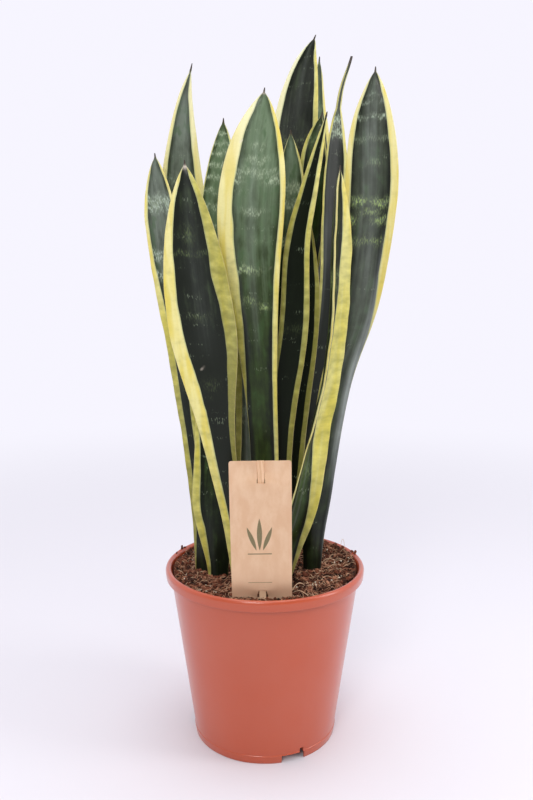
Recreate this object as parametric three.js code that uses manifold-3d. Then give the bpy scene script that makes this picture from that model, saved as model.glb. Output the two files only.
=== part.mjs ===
// Potted snake plant with yellow leaf margins, in a round nursery pot with a card tag.
// Millimetres, +Z up, origin at the middle of the pot's foot, front of the plant towards -Y.

import * as THREE from "three";
import * as BufferGeometryUtils from "three/addons/utils/BufferGeometryUtils.js";
import Module from "manifold-3d";

const wasm = await Module();
wasm.setup();

// Clearance kept between neighbouring pieces
const GAP = 0.3;

// Pot
const POT_HEIGHT = 184.3;
const FOOT_RADIUS = 75.2;
const NECK_RADIUS = 99;
const LIP_RADIUS = 105;
const LIP_HEIGHT = 11.3;
const LIP_BOTTOM = POT_HEIGHT - LIP_HEIGHT;
const WALL = 1.6;
const FLOOR_HEIGHT = 8.5;
const FLOOR_TOP = 10.5;
const BAND_HEIGHT = 9;
const BAND_RADIUS = 76;
const BAND_STEP = 0.5;
const BAND_BEVEL = 0.6;
const POT_SIDES = 60;

// Section of the lip, from the hollow under it, over its top and down to the inside: radius and
// height measured from where its outside and its top would meet
const LIP_SECTION = [
  [-5.2, -5.3], [-2.8, -3.2], [-1.6, -4.6], [-2.2, -LIP_HEIGHT], [-0.8, -LIP_HEIGHT],
  [0, -3.4], [-0.9, -1], [-2.6, 0], [-4.8, 0], [-6.4, -1.4],
];

// Notches and drain holes
const NOTCH_COUNT = 3;
const NOTCH_FIRST_ANGLE = 22.5;
const NOTCH_WIDTH = 25;
const NOTCH_HEIGHT = 8;
const DRAIN_WIDTH = 4;
const DRAIN_BOTTOM = 7.5;
const DRAIN_TOP = 12.5;
const DRAIN_SIDE = 9;
const CUT_DEPTH = 16;
const FLOOR_HOLE_COUNT = 6;
const FLOOR_HOLE_RADIUS = 5;
const FLOOR_HOLE_SIDES = 12;
const FLOOR_HOLE_CIRCLE = 48;

// Soil
const SOIL_HEIGHT = 178;
const SOIL_SHOULDER = 172.5;
const SOIL_RADIUS = 97;
const SOIL_RISE_RIGHT = 1.3;
const SOIL_RISE_BACK = 3.2;
const SOIL_HEAP = 2;
const SOIL_SIDES = 40;
const SOIL_RINGS = 7;

// Ripples of the soil's top: height, turn per millimetre to the right and to the back, start
const SOIL_WAVES = [[0.4, 0.11, 0.13, 1], [0.4, 0.11, -0.13, 1], [0.5, 0.23, -0.19, 0]];

// Leaves
const FOOT_DEPTH = 22;
const FOOT_SHARE = 0.25;
const FOOT_THICKNESS = 7;
const LEAF_ROWS = 22;
const FOOT_ROWS = 2;
const CURVE_STEPS = 400;
const ACROSS = [-1, -0.5, 0, 0.5, 1];
const EDGE_THICKNESS = 1.2;
const SLIM_WIDTH = 12;
const SLIM_EDGE = 0.7;
const POINT_LENGTH = 4;
const POINT_WIDTH = 2.2;
const POINT_TAPER = 0.6;
const SHOULDER_POWER = 2.2;
const TIP_POWER = 0.8;
const WAIST_POWER = 5;
const ROOT_SHARE = 0.2;
const SOCKET_ROWS = 3;

// Card and stick
const CARD_WIDTH = 58;
const CARD_TOP = 146;
const CARD_DEPTH = 3;
const CARD_THICKNESS = 0.8;
const CARD_CORNER = 2.5;
const CARD_BASE = [-2.5, -76, 172];
const CARD_LEAN = 8.2;
const CARD_ROLL = 0.7;
const SLOT_WIDTH = 7.6;
const SLOT_HEIGHT = 10;
const SLOT_BEND = 5;
const SLOT_ROWS = [-1, -0.4, 0.4, 1];
const PLAIN_ROWS = [0, 50, 90];
const CORNER_ROWS = [1, 0.3, 0];
const UPPER_SLOT = 130;
const LOWER_SLOT = 9;
const STICK_WIDTH = 6.5;
const STICK_THICKNESS = 1.8;
const STICK_TOP = CARD_TOP + 0.8;
const STICK_DEPTH = 55;
const STICK_SIDE = 0.6;

// Each leaf: the middle line from the soil to the tip, the width at its widest place, where that is
// as a share of the length, the width low on the stem, how far it faces to the right in degrees and
// how deep it is channelled, both evenly spaced from the soil to the tip, and its thickness. Some
// leaves have more: root is the width at the soil where it differs from foot, point the length of the
// slim tip, pointWidth its width where it starts, and shoulder how full the blade is towards the tip.
const LEAVES = [
  {
    name: "leaf_01",
    spine: [[-63, -6, 172], [-69, -1, 255], [-87, 10, 395], [-104, 22, 540], [-112, 26, 609]],
    width: 42, widest: 0.82, foot: 18, facing: [-20, -30, -30], channel: [0.5, 0.15], thick: 4,
  },
  {
    name: "leaf_02",
    spine: [
      [-19, -44, 172], [-28, -47, 235], [-43, -50, 317], [-57, -52, 425], [-68, -56, 520], [-73, -62, 589],
    ],
    width: 66, widest: 0.64, foot: 24, facing: [0, -8, -12], channel: [0.4, 0.1], thick: 5,
  },
  {
    name: "leaf_03",
    spine: [
      [-57, 34, 172], [-72, 42, 308], [-83, 48, 460], [-88, 52, 585], [-84, 53, 662], [-75, 50, 702],
    ],
    width: 48, widest: 0.76, foot: 18, facing: [10, 20, 20], channel: [0.4, 0.15], thick: 4,
    point: 7, shoulder: 1.1,
  },
  {
    name: "leaf_04",
    spine: [
      [-48, -20, 172], [-49, -26, 255], [-46, -18, 331], [-45, 4, 461], [-43, 22, 592], [-42, 30, 644],
    ],
    width: 47, widest: 0.72, foot: 48, root: 20, facing: [-5, -10, -15], channel: [0.4, 0.1],
    thick: 4.5,
  },
  {
    name: "leaf_05",
    spine: [
      [1, -20, 172], [0, -25, 301], [-6, -28, 403], [-14, -31, 510], [-9, -36, 600], [0, -40, 657],
    ],
    width: 64, widest: 0.78, foot: 27, facing: [0, 0, 5], channel: [0.4, 0.1], thick: 5,
  },
  {
    name: "leaf_06",
    spine: [[-16, 8, 172], [-15, 5, 327], [-15, 11, 461], [-21, 18, 560]],
    width: 34, widest: 0.55, foot: 20, facing: [0, 10, 20], channel: [0.4, 0.15], thick: 4,
  },
  {
    name: "leaf_07",
    spine: [[10, 52, 172], [21, 54, 460], [32, 58, 632], [42, 62, 703], [53, 64, 734]],
    width: 49, widest: 0.79, foot: 22, facing: [-5, -10, -15], channel: [0.4, 0.15], thick: 4,
  },
  {
    name: "leaf_08",
    spine: [[31, 70, 172], [50, 78, 460], [56, 84, 600], [55, 88, 664], [59, 92, 720]],
    width: 40, widest: 0.75, foot: 19, facing: [20, 35, 45], channel: [0.4, 0.15], thick: 4,
  },
  {
    name: "leaf_09",
    spine: [[21, 31, 172], [37, 34, 429], [49, 36, 564], [52, 36, 622], [59, 35, 651]],
    width: 34, widest: 0.82, foot: 19, facing: [0, -10, -15], channel: [0.4, 0.15], thick: 4,
  },
  {
    name: "leaf_10",
    spine: [[16, -6, 172], [18, -6, 329], [29, -5, 436], [32, -4, 516], [44, -2, 573], [61, 0, 644]],
    width: 30, widest: 0.5, foot: 20, facing: [0, 5, 15], channel: [0.4, 0.15], thick: 4,
  },
  {
    name: "leaf_11",
    spine: [[36, 46, 172], [51, 36, 332], [66, 25, 471], [69, 18, 581], [73, 14, 655], [85, 10, 698]],
    width: 32, widest: 0.78, foot: 18, facing: [0, 25, 40], channel: [0.4, 0.3], thick: 4,
    point: 42, pointWidth: 7,
  },
  {
    name: "leaf_12",
    spine: [
      [16, -34, 172], [26, -35, 215], [38, -36, 257], [49, -38, 335], [59, -40, 385], [65, -43, 455],
      [67, -47, 546], [70, -50, 586],
    ],
    width: 36, widest: 0.8, foot: 28, facing: [-35, 0, 50, 60, 60, 60], channel: [0.8, 0.5], thick: 3.5,
  },
  {
    name: "leaf_13",
    spine: [
      [49, -9, 172], [53, -9, 245], [71, -10, 372], [94, -14, 457], [103, -22, 553], [102, -30, 632],
      [103, -34, 677],
    ],
    width: 52, widest: 0.8, foot: 29, root: 19, facing: [10, -5, -20, -25], channel: [0.15, 0.1],
    thick: 5,
  },
  {
    name: "leaf_14",
    spine: [[-3, 20, 172], [14, 21, 419], [25, 19, 562], [26, 16, 630]],
    width: 36, widest: 0.78, foot: 20, facing: [0, 10, 15], channel: [0.4, 0.15], thick: 4,
  },
  {
    name: "leaf_15",
    spine: [[23, 13, 172], [33, 14, 325], [39, 14, 440], [41, 14, 497], [44, 14, 549]],
    width: 34, widest: 0.7, foot: 18, facing: [0, 5, 10], channel: [0.4, 0.15], thick: 4,
  },
];

// Materials
const plastic = new THREE.MeshStandardMaterial({ color: 0xb85f4a, roughness: 0.5, metalness: 0 });
const peat = new THREE.MeshStandardMaterial({ color: 0x4a2c1e, roughness: 1, metalness: 0 });
const blade = new THREE.MeshStandardMaterial({ color: 0x2f4a2a, roughness: 0.45, metalness: 0 });
const kraft = new THREE.MeshStandardMaterial({ color: 0xd6ab82, roughness: 0.85, metalness: 0 });
const pine = new THREE.MeshStandardMaterial({ color: 0xc99a6c, roughness: 0.7, metalness: 0 });

const radians = THREE.MathUtils.degToRad;

// Solid helpers

function toManifold(geometry) {
  const bare = geometry.clone();
  bare.deleteAttribute("normal");
  bare.deleteAttribute("uv");
  const merged = BufferGeometryUtils.mergeVertices(bare, 1e-4);
  const mesh = new wasm.Mesh({
    numProp: 3,
    vertProperties: new Float32Array(merged.attributes.position.array),
    triVerts: new Uint32Array(merged.index.array),
  });
  return new wasm.Manifold(mesh);
}

function toGeometry(solid) {
  const mesh = solid.getMesh();
  const geometry = new THREE.BufferGeometry();
  geometry.setAttribute("position", new THREE.BufferAttribute(mesh.vertProperties, 3));
  geometry.setIndex(new THREE.BufferAttribute(mesh.triVerts, 1));
  geometry.computeVertexNormals();
  return geometry;
}

function indexed(points, faces) {
  const geometry = new THREE.BufferGeometry();
  const flat = points.flatMap((point) => [point.x, point.y, point.z]);
  geometry.setAttribute("position", new THREE.Float32BufferAttribute(flat, 3));
  geometry.setIndex(faces.flat());
  geometry.computeVertexNormals();
  return geometry;
}

function named(name, geometry, material) {
  const mesh = new THREE.Mesh(geometry, material);
  mesh.name = name;
  return mesh;
}

// Pot

// Outer radius of the tapered wall
function wallRadius(height) {
  const taper = (NECK_RADIUS - BAND_RADIUS) / (LIP_BOTTOM - BAND_HEIGHT);
  return BAND_RADIUS + taper * (height - BAND_HEIGHT);
}

function potOutline() {
  const inside = FOOT_RADIUS - WALL;
  const lip = LIP_SECTION.map(([radius, height]) => [LIP_RADIUS + radius, POT_HEIGHT + height]);
  return [
    [0, FLOOR_HEIGHT],
    [inside, FLOOR_HEIGHT],
    [inside, 0],
    [FOOT_RADIUS, 0],
    [BAND_RADIUS + BAND_STEP, BAND_HEIGHT - BAND_BEVEL],
    [BAND_RADIUS, BAND_HEIGHT],
    [NECK_RADIUS, LIP_BOTTOM],
    ...lip,
    [NECK_RADIUS - WALL, LIP_BOTTOM],
    [wallRadius(FLOOR_TOP) - WALL, FLOOR_TOP],
    [0, FLOOR_TOP],
  ];
}

// A box that cuts through the foot at an angle round the pot
function footCutter(width, bottom, top, side, angle) {
  const geometry = new THREE.BoxGeometry(width, CUT_DEPTH, top - bottom);
  geometry.translate(side, -FOOT_RADIUS, (top + bottom) / 2);
  geometry.rotateZ(radians(angle));
  return toManifold(geometry);
}

function floorCutter(angle) {
  const geometry = new THREE.CylinderGeometry(
    FLOOR_HOLE_RADIUS, FLOOR_HOLE_RADIUS, CUT_DEPTH, FLOOR_HOLE_SIDES,
  );
  geometry.rotateX(Math.PI / 2);
  geometry.translate(FLOOR_HOLE_CIRCLE, 0, FLOOR_HEIGHT);
  geometry.rotateZ(radians(angle));
  return toManifold(geometry);
}

function makePot() {
  const points = potOutline().map(([radius, height]) => new THREE.Vector2(radius, height));
  const body = new THREE.LatheGeometry(points, POT_SIDES);
  body.rotateX(Math.PI / 2);
  let pot = toManifold(body);
  for (let index = 0; index < NOTCH_COUNT; index += 1) {
    const angle = NOTCH_FIRST_ANGLE + (index * 360) / NOTCH_COUNT;
    pot = pot.subtract(footCutter(NOTCH_WIDTH, -NOTCH_HEIGHT, NOTCH_HEIGHT, 0, angle));
    pot = pot.subtract(footCutter(DRAIN_WIDTH, DRAIN_BOTTOM, DRAIN_TOP, DRAIN_SIDE, angle));
  }
  for (let index = 0; index < FLOOR_HOLE_COUNT; index += 1) {
    pot = pot.subtract(floorCutter((index * 360) / FLOOR_HOLE_COUNT));
  }
  return toGeometry(pot);
}

// Leaves

function leafWidth(leaf, share) {
  if (share >= leaf.widest) {
    const above = Math.min(1, (share - leaf.widest) / (1 - leaf.widest));
    return leaf.width * (1 - above ** (leaf.shoulder ?? SHOULDER_POWER)) ** TIP_POWER;
  }
  const below = Math.max(0, share / leaf.widest);
  const rise = below ** WAIST_POWER * (WAIST_POWER + 1 - WAIST_POWER * below);
  const root = leaf.root ?? leaf.foot;
  const foot = root + (leaf.foot - root) * THREE.MathUtils.smoothstep(share, 0, ROOT_SHARE);
  return foot + (leaf.width - foot) * rise;
}

// Value at a share of the way along a list of evenly spaced values
function along(values, share) {
  const place = share * (values.length - 1);
  const step = Math.min(values.length - 2, Math.floor(place));
  return THREE.MathUtils.lerp(values[step], values[step + 1], place - step);
}

// One row of points across a leaf: inner face from left to right, then outer face likewise. spare
// makes the row larger on every side.
function leafRow(leaf, centre, share, width, spare) {
  const facing = radians(along(leaf.facing, share));
  const across = new THREE.Vector3(Math.cos(facing), Math.sin(facing), 0);
  const inward = new THREE.Vector3(Math.sin(facing), -Math.cos(facing), 0);
  const half = width / 2 + spare;
  const channel = along(leaf.channel, Math.sqrt(share));
  const low = Math.max(0, 1 - share / FOOT_SHARE);
  const middle = leaf.thick + (FOOT_THICKNESS - leaf.thick) * low ** 2;
  const slim = Math.min(1, width / SLIM_WIDTH);
  const edge = EDGE_THICKNESS * THREE.MathUtils.lerp(SLIM_EDGE, 1, slim);
  const faces = [1, -1].map((side) => ACROSS.map((place) => {
    const body = (1 - place * place) * (middle - EDGE_THICKNESS) * slim;
    const thickness = body + edge + 2 * spare;
    const depth = channel * half * place * place + (side * thickness) / 2;
    return centre.clone().addScaledVector(across, half * place).addScaledVector(inward, depth);
  }));
  return faces.flat();
}

function leafGeometry(leaf, spare = 0, lastRow = LEAF_ROWS) {
  const knots = leaf.spine.map((point) => new THREE.Vector3(...point));
  const curve = new THREE.CatmullRomCurve3(knots, false, "catmullrom", 0.5);
  curve.arcLengthDivisions = CURVE_STEPS;
  const bodyEnd = 1 - (leaf.point ?? POINT_LENGTH) / curve.getLength();
  const start = curve.getPointAt(0);
  const heading = curve.getTangentAt(0);
  const rows = [];
  for (let row = 0; row < FOOT_ROWS; row += 1) {
    const depth = (FOOT_DEPTH + spare) * (1 - row / FOOT_ROWS);
    const centre = start.clone().addScaledVector(heading, -depth);
    rows.push(leafRow(leaf, centre, 0, leafWidth(leaf, 0), spare));
  }
  for (let row = 0; row <= lastRow; row += 1) {
    const share = row / LEAF_ROWS;
    const pointShare = Math.max(0, (share - bodyEnd) / (1 - bodyEnd));
    const pointWidth = (leaf.pointWidth ?? POINT_WIDTH) * (1 - POINT_TAPER * pointShare);
    const width = Math.max(leafWidth(leaf, share / bodyEnd), pointWidth);
    rows.push(leafRow(leaf, curve.getPointAt(share), share, width, spare));
  }
  return skin(rows);
}

// Closed skin over rows of two faces, cut into triangles alike on both faces
function skin(rows) {
  const count = ACROSS.length;
  const faces = [];
  const at = (row, side, column) => row * 2 * count + side * count + column;
  for (let row = 0; row < rows.length - 1; row += 1) {
    for (let column = 0; column < count - 1; column += 1) {
      const [a, b] = [at(row, 0, column), at(row, 0, column + 1)];
      const [c, d] = [at(row + 1, 0, column + 1), at(row + 1, 0, column)];
      faces.push([a, b, c], [a, c, d]);
      const [e, f] = [at(row, 1, column), at(row, 1, column + 1)];
      const [g, h] = [at(row + 1, 1, column + 1), at(row + 1, 1, column)];
      faces.push([e, g, f], [e, h, g]);
    }
    for (const [column, turn] of [[0, 1], [count - 1, -1]]) {
      const [a, b] = [at(row, 1, column), at(row, 0, column)];
      const [c, d] = [at(row + 1, 0, column), at(row + 1, 1, column)];
      faces.push(turn > 0 ? [a, b, c] : [a, c, b], turn > 0 ? [a, c, d] : [a, d, c]);
    }
  }
  const last = rows.length - 1;
  for (let column = 0; column < count - 1; column += 1) {
    const low = [0, 1].flatMap((side) => [at(0, side, column), at(0, side, column + 1)]);
    faces.push([low[0], low[3], low[1]], [low[0], low[2], low[3]]);
    const high = [0, 1].flatMap((side) => [at(last, side, column), at(last, side, column + 1)]);
    faces.push([high[0], high[1], high[3]], [high[0], high[3], high[2]]);
  }
  return indexed(rows.flat(), faces);
}

// Soil

function soilTop(x, y) {
  const reach = Math.hypot(x, y) / SOIL_RADIUS;
  const heap = SOIL_HEAP * (1 - reach * reach);
  const rise = (SOIL_RISE_RIGHT * x + SOIL_RISE_BACK * y) / SOIL_RADIUS;
  let top = SOIL_HEIGHT + heap + rise;
  for (const [height, right, back, start] of SOIL_WAVES) {
    top += height * Math.sin(x * right + y * back + start);
  }
  return top;
}

function soilBlank() {
  const floor = FLOOR_TOP + GAP;
  const ring = (radius, heightAt) => Array.from({ length: SOIL_SIDES }, (unused, index) => {
    const angle = (index * 2 * Math.PI) / SOIL_SIDES;
    const [x, y] = [radius * Math.cos(angle), radius * Math.sin(angle)];
    return new THREE.Vector3(x, y, heightAt(x, y));
  });
  const flat = Math.cos(Math.PI / POT_SIDES);
  const inner = (height) => (wallRadius(height) - WALL - GAP) * flat;
  const edge = inner(SOIL_SHOULDER);
  const rings = [ring(inner(floor), () => floor), ring(edge, () => SOIL_SHOULDER)];
  for (let index = 0; index < SOIL_RINGS; index += 1) {
    rings.push(ring(edge * (1 - index / SOIL_RINGS), soilTop));
  }
  const points = [new THREE.Vector3(0, 0, floor), ...rings.flat()];
  const top = points.length;
  points.push(new THREE.Vector3(0, 0, soilTop(0, 0)));
  const faces = [];
  const at = (index, side) => 1 + index * SOIL_SIDES + (side % SOIL_SIDES);
  for (let side = 0; side < SOIL_SIDES; side += 1) {
    faces.push([0, at(0, side + 1), at(0, side)]);
    for (let index = 0; index < rings.length - 1; index += 1) {
      const [a, b] = [at(index, side), at(index, side + 1)];
      const [c, d] = [at(index + 1, side + 1), at(index + 1, side)];
      faces.push([a, b, c], [a, c, d]);
    }
    faces.push([at(rings.length - 1, side), at(rings.length - 1, side + 1), top]);
  }
  return indexed(points, faces);
}

function makeSoil(sockets) {
  let soil = toManifold(soilBlank());
  for (const socket of sockets) {
    soil = soil.subtract(socket);
  }
  return toGeometry(soil);
}

// Card and stick, in the tag's own frame: X across, Z up from the soil, -Y towards the front

// The card lies behind the stick at both ends and in front of it between the slots
function cardDepth(height) {
  const reach = (STICK_THICKNESS + CARD_THICKNESS) / 2 + GAP;
  const turn = (slot, way) => way * THREE.MathUtils.smoothstep(height, slot - SLOT_BEND, slot + SLOT_BEND);
  return reach * (1 - 2 * turn(LOWER_SLOT, 1) - 2 * turn(UPPER_SLOT, -1));
}

// Rows of the card up to a height, each a front and a back face from left to right
function cardRows(spare, top) {
  const rows = [];
  const heights = [
    -CARD_DEPTH - spare,
    ...PLAIN_ROWS,
    ...SLOT_ROWS.map((place) => LOWER_SLOT + place * SLOT_BEND),
    ...SLOT_ROWS.map((place) => UPPER_SLOT + place * SLOT_BEND),
    ...CORNER_ROWS.map((place) => CARD_TOP - place * CARD_CORNER),
  ];
  heights.sort((low, high) => low - high);
  for (const height of heights.filter((value) => value <= top)) {
    const drop = Math.max(0, height - (CARD_TOP - CARD_CORNER));
    const inset = CARD_CORNER - Math.sqrt(Math.max(0, CARD_CORNER ** 2 - drop ** 2));
    const half = CARD_WIDTH / 2 - inset + spare;
    const face = (side) => ACROSS.map((place) => new THREE.Vector3(
      half * place, cardDepth(height) - side * (CARD_THICKNESS / 2 + spare), height,
    ));
    rows.push([...face(1), ...face(-1)]);
  }
  return rows;
}

function makeCard() {
  let card = toManifold(skin(cardRows(0, CARD_TOP)));
  for (const slot of [LOWER_SLOT, UPPER_SLOT]) {
    const window = new THREE.BoxGeometry(SLOT_WIDTH, CUT_DEPTH, SLOT_HEIGHT);
    window.translate(STICK_SIDE, 0, slot);
    card = card.subtract(toManifold(window));
  }
  return toGeometry(card);
}

function stickGeometry(spare) {
  const length = STICK_TOP + STICK_DEPTH + spare;
  const stick = new THREE.BoxGeometry(
    STICK_WIDTH + 2 * spare, STICK_THICKNESS + 2 * spare, length,
  );
  stick.translate(STICK_SIDE, 0, STICK_TOP - length / 2);
  return stick;
}

// Assembly

const tagPlace = new THREE.Matrix4().makeTranslation(...CARD_BASE);
tagPlace.multiply(new THREE.Matrix4().makeRotationY(radians(-CARD_ROLL)));
tagPlace.multiply(new THREE.Matrix4().makeRotationX(radians(CARD_LEAN)));

const plant = new THREE.Group();
const sockets = LEAVES.map((leaf) => toManifold(leafGeometry(leaf, GAP, SOCKET_ROWS)));
sockets.push(toManifold(skin(cardRows(GAP, LOWER_SLOT + SLOT_BEND)).applyMatrix4(tagPlace)));
sockets.push(toManifold(stickGeometry(GAP).applyMatrix4(tagPlace)));

plant.add(named("pot", makePot(), plastic));
plant.add(named("soil", makeSoil(sockets), peat));
for (const leaf of LEAVES) {
  plant.add(named(leaf.name, leafGeometry(leaf), blade));
}

const tag = new THREE.Group();
tag.applyMatrix4(tagPlace);
tag.add(named("tag_card", makeCard(), kraft));
tag.add(named("tag_stick", stickGeometry(0), pine));
plant.add(tag);

export default plant;
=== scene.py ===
"""Looks of the potted snake plant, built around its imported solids.

The tables hold millimetres, in the frame of the part: +Z up, the front towards -Y.
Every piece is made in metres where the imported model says.
"""

import math
import random

import bmesh
import bpy
import numpy as np
from mathutils import Matrix, Vector, noise


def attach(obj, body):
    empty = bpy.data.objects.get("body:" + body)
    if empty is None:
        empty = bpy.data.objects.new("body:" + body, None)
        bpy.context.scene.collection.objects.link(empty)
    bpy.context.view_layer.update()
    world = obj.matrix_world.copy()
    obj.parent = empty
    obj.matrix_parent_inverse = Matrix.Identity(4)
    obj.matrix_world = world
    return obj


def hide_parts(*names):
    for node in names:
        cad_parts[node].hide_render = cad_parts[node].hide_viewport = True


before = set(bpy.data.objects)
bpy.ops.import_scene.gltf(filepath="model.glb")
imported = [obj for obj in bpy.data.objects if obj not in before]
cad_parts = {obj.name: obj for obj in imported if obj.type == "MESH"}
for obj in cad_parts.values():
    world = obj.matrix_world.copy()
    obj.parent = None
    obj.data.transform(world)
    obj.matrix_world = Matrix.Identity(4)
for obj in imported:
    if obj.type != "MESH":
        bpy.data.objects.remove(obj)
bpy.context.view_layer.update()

MM = 0.001
SEED = 20

# Camera, where the photograph was taken from
CAMERA_PLACE = (1.7, -794.0, 479.0)
CAMERA_PITCH = 8.6
CAMERA_LENS = 35.0
SENSOR = 36.0

# Pot, as in the part
POT_HEIGHT = 184.3
FOOT_RADIUS = 75.2
NECK_RADIUS = 99.0
LIP_RADIUS = 105.0
LIP_INNER_RADIUS = 98.6
LIP_HEIGHT = 11.3
WALL = 1.6
FLOOR_HEIGHT = 8.5
FLOOR_THICKNESS = 2.0
BAND_HEIGHT = 9.0
BAND_RADIUS = FOOT_RADIUS + 0.8
BAND_STEP = 0.5
NOTCH_COUNT = 3
NOTCH_FIRST_ANGLE = 22.5
NOTCH_WIDTH = 25.0
NOTCH_HEIGHT = 8.0
DRAIN_WIDTH = 4.0
DRAIN_HEIGHT = 5.0
DRAIN_SIDE = 9.0
FLOOR_HOLES = 6
FLOOR_HOLE_RADIUS = 5.0
FLOOR_HOLE_CIRCLE = 48.0
POT_SIDES = 192
CORNER_RADIUS = 1.1
NOTCH_DEPTH = 16.0
DRAIN_DEPTH = 14.0
FLOOR_HOLE_DEPTH = 10.0
FLOOR_HOLE_SIDES = 24

# Soil, as in the part
SOIL_HEIGHT = 178.0
SOIL_SHOULDER = 172.5
SOIL_RADIUS = 97.0
SOIL_RISE_RIGHT = 1.3
SOIL_RISE_BACK = 3.2
SOIL_HEAP = 2.0
# Height, turn per millimetre to the right and to the back, and start of each wave
SOIL_WAVES = ((0.4, 0.11, 0.13, 1), (0.4, 0.11, -0.13, 1), (0.5, 0.23, -0.19, 0))
SOIL_BANK = 4.2
BANK_REACH = (82, 97)
BANK_SIDES = (-75, 0)
# Loose matter on top: turns per millimetre, seed and height of each layer
SOIL_LUMPS = (0.10, 3.0, 1.6)
SOIL_CRUMBS = (0.30, 9.0, 1.8)
SOIL_GRIT = (0.8, 21.0, 1.6)
SOIL_GAP = 0.4
SOIL_RINGS = 150
SOIL_SIDES = 340
SCATTER_RADIUS = 95.5
CRUMB_COUNT = 1500
FIBRE_COUNT = 2600
GRIT_COUNT = 130
LITTER_COUNT = 26
CRUMB_KINDS = 10
CRUMB_SIZES = (0.8, 1.1, 1.4, 1.8, 2.3)
CRUMB_STRETCH = ((0.9, 1.9), (0.5, 1.0), (0.4, 0.8))
LITTER_STRETCH = ((0.9, 1.6), (0.6, 1.0), (0.5, 0.9))
RIM_CRUMB_STRETCH = (1.5, 0.8, 0.6)
GRIT_STRETCH = (1, 0.9, 0.8)
GRIT_SPREAD = 8
FIBRE_LENGTH = (5, 18)
FIBRE_RADIUS = (0.14, 0.42)
FIBRE_LIFT = 2.2
FIBRE_POINTS = 7
FIBRE_LIMIT = 96.0
ARCH_POINTS = 9

# Leaves, as in the part, with finer rows and columns
FOOT_DEPTH = 22.0
EDGE_THICKNESS = 1.2
FOOT_THICKNESS = 7.0
BLADE_THICKNESS = 4.0
CHANNEL = (0.4, 0.15)
POINT_LENGTH = 4.0
POINT_WIDTH = 2.2
POINT_TAPER = 0.6
SHOULDER_POWER = 2.2
TIP_POWER = 0.8
ROOT_SHARE = 0.2
LEAF_ROWS = 200
FOOT_ROWS = 4
INNER_COLUMNS = 27
RIM_STEPS = (0.4, 0.75, 0.94, 1.0)
CROWN = (0.30, 0.22, 0.14, 0.10, 0.08)
MARGIN_REACH = 0.62
BROWN_TIP = 7.0
SPINE_STEPS = 80
RIM_WAVE = 95.0
RIM_WAVE_HEIGHT = 0.9
FACE_WAVE = 150.0
FACE_WAVE_HEIGHT = 0.4
SLIM_WIDTH = 12.0
MARGIN_WAVE = 90.0
MARGIN_UNEVEN = 0.05
MARGIN_END = 0.955
SHEEN_FADE = 0.08
# Middle and half width of a cross band that runs right across the blade
WHOLE_BLADE = (0, 9)
# Gives the blade's back a pattern of its own
BACK_OFFSET = (0, 0, 7.0)

# Card and stick, as in the part
CARD_WIDTH = 58.0
CARD_TOP = 146.0
CARD_DEPTH = 3.0
CARD_THICKNESS = 0.8
CARD_CORNER = 2.5
CARD_BASE = (-2.5, -76.0, 172.0)
CARD_LEAN = 8.2
CARD_ROLL = 0.7
SLOT_WIDTH = 7.6
SLOT_HEIGHT = 10.0
SLOT_BEND = 5.0
SLOT_EASE = 10.0
UPPER_SLOT = 130.0
LOWER_SLOT = 9.0
SLOTS = [(at - SLOT_HEIGHT / 2, at + SLOT_HEIGHT / 2) for at in (LOWER_SLOT, UPPER_SLOT)]
STICK_WIDTH = 6.5
STICK_THICKNESS = 1.8
STICK_TOP = CARD_TOP + 0.8
STICK_DEPTH = 55.0
STICK_SIDE = 0.6
STICK_EDGE = 0.55
LEFT_SLOT = STICK_SIDE - SLOT_WIDTH / 2
RIGHT_SLOT = STICK_SIDE + SLOT_WIDTH / 2
TAG_GAP = 0.3
SNUG_GAP = 0.12
TORN_GAP = 2.0

# Leaf colours, and strengths of the patterns
DARK_GREEN = (0.007, 0.010, 0.005)
MID_LUSH = (0.030, 0.054, 0.010)
MID_SLATE = (0.038, 0.046, 0.030)
LIGHT_LUSH = (0.145, 0.240, 0.100)
LIGHT_SLATE = (0.192, 0.226, 0.184)
GRASS_GREEN = (0.035, 0.085, 0.022)
BAND_GREEN = (0.360, 0.440, 0.290)
BAND_YELLOW = (0.340, 0.470, 0.130)
BAND_SLATE = (0.420, 0.500, 0.420)
# Painted sheen: a grey that stands in for highlights and reflections on the blades
SHEEN_GREY = (0.390, 0.430, 0.400)
MARGIN_LIGHT = (0.890, 0.880, 0.620)
MARGIN_PALE = (0.880, 0.805, 0.350)
MARGIN_YELLOW = (0.800, 0.660, 0.130)
MARGIN_LEMON = (0.660, 0.620, 0.090)
MARGIN_MOTTLE = (0.330, 0.330, 0.060)
MARGIN_WHITE = (0.440, 0.490, 0.270)
# Darkest margin colour: partly the margins' own dull yellow-green, partly painted shade
MARGIN_OLIVE_SHADE = (0.200, 0.190, 0.050)
RIM_LINE = (0.600, 0.470, 0.290)
TIP_BROWN = (0.060, 0.045, 0.035)
SCAR_PALE = (0.800, 0.700, 0.580)
# How much ribbons, slow waves, patches and fibres move the green's lightness
LIGHT_WEIGHTS = (0.50, 0.60, 0.80, 0.18)
FAINT_WEIGHT = 0.34
# Strength of the painted sheen streaks
SHEEN_WEIGHT = 0.45
RIM_WEIGHT = 0.30
OUTER_GLOSS = 0.28
INNER_GLOSS = 0.12

# Colours of the pot, the soil, the card and the stick
POT_RED = (0.487, 0.074, 0.022)
POT_DUST = (0.560, 0.250, 0.190)
SOIL_BLACK = (0.012, 0.006, 0.004)
SOIL_DARK = (0.034, 0.012, 0.007)
SOIL_MID = (0.175, 0.052, 0.026)
SOIL_LIGHT = (0.440, 0.205, 0.118)
PERLITE = (0.750, 0.690, 0.560)
STRAW = (0.680, 0.460, 0.290)
CARD_KRAFT = (0.700, 0.445, 0.270)
CARD_PALE = (0.765, 0.525, 0.340)
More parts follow.
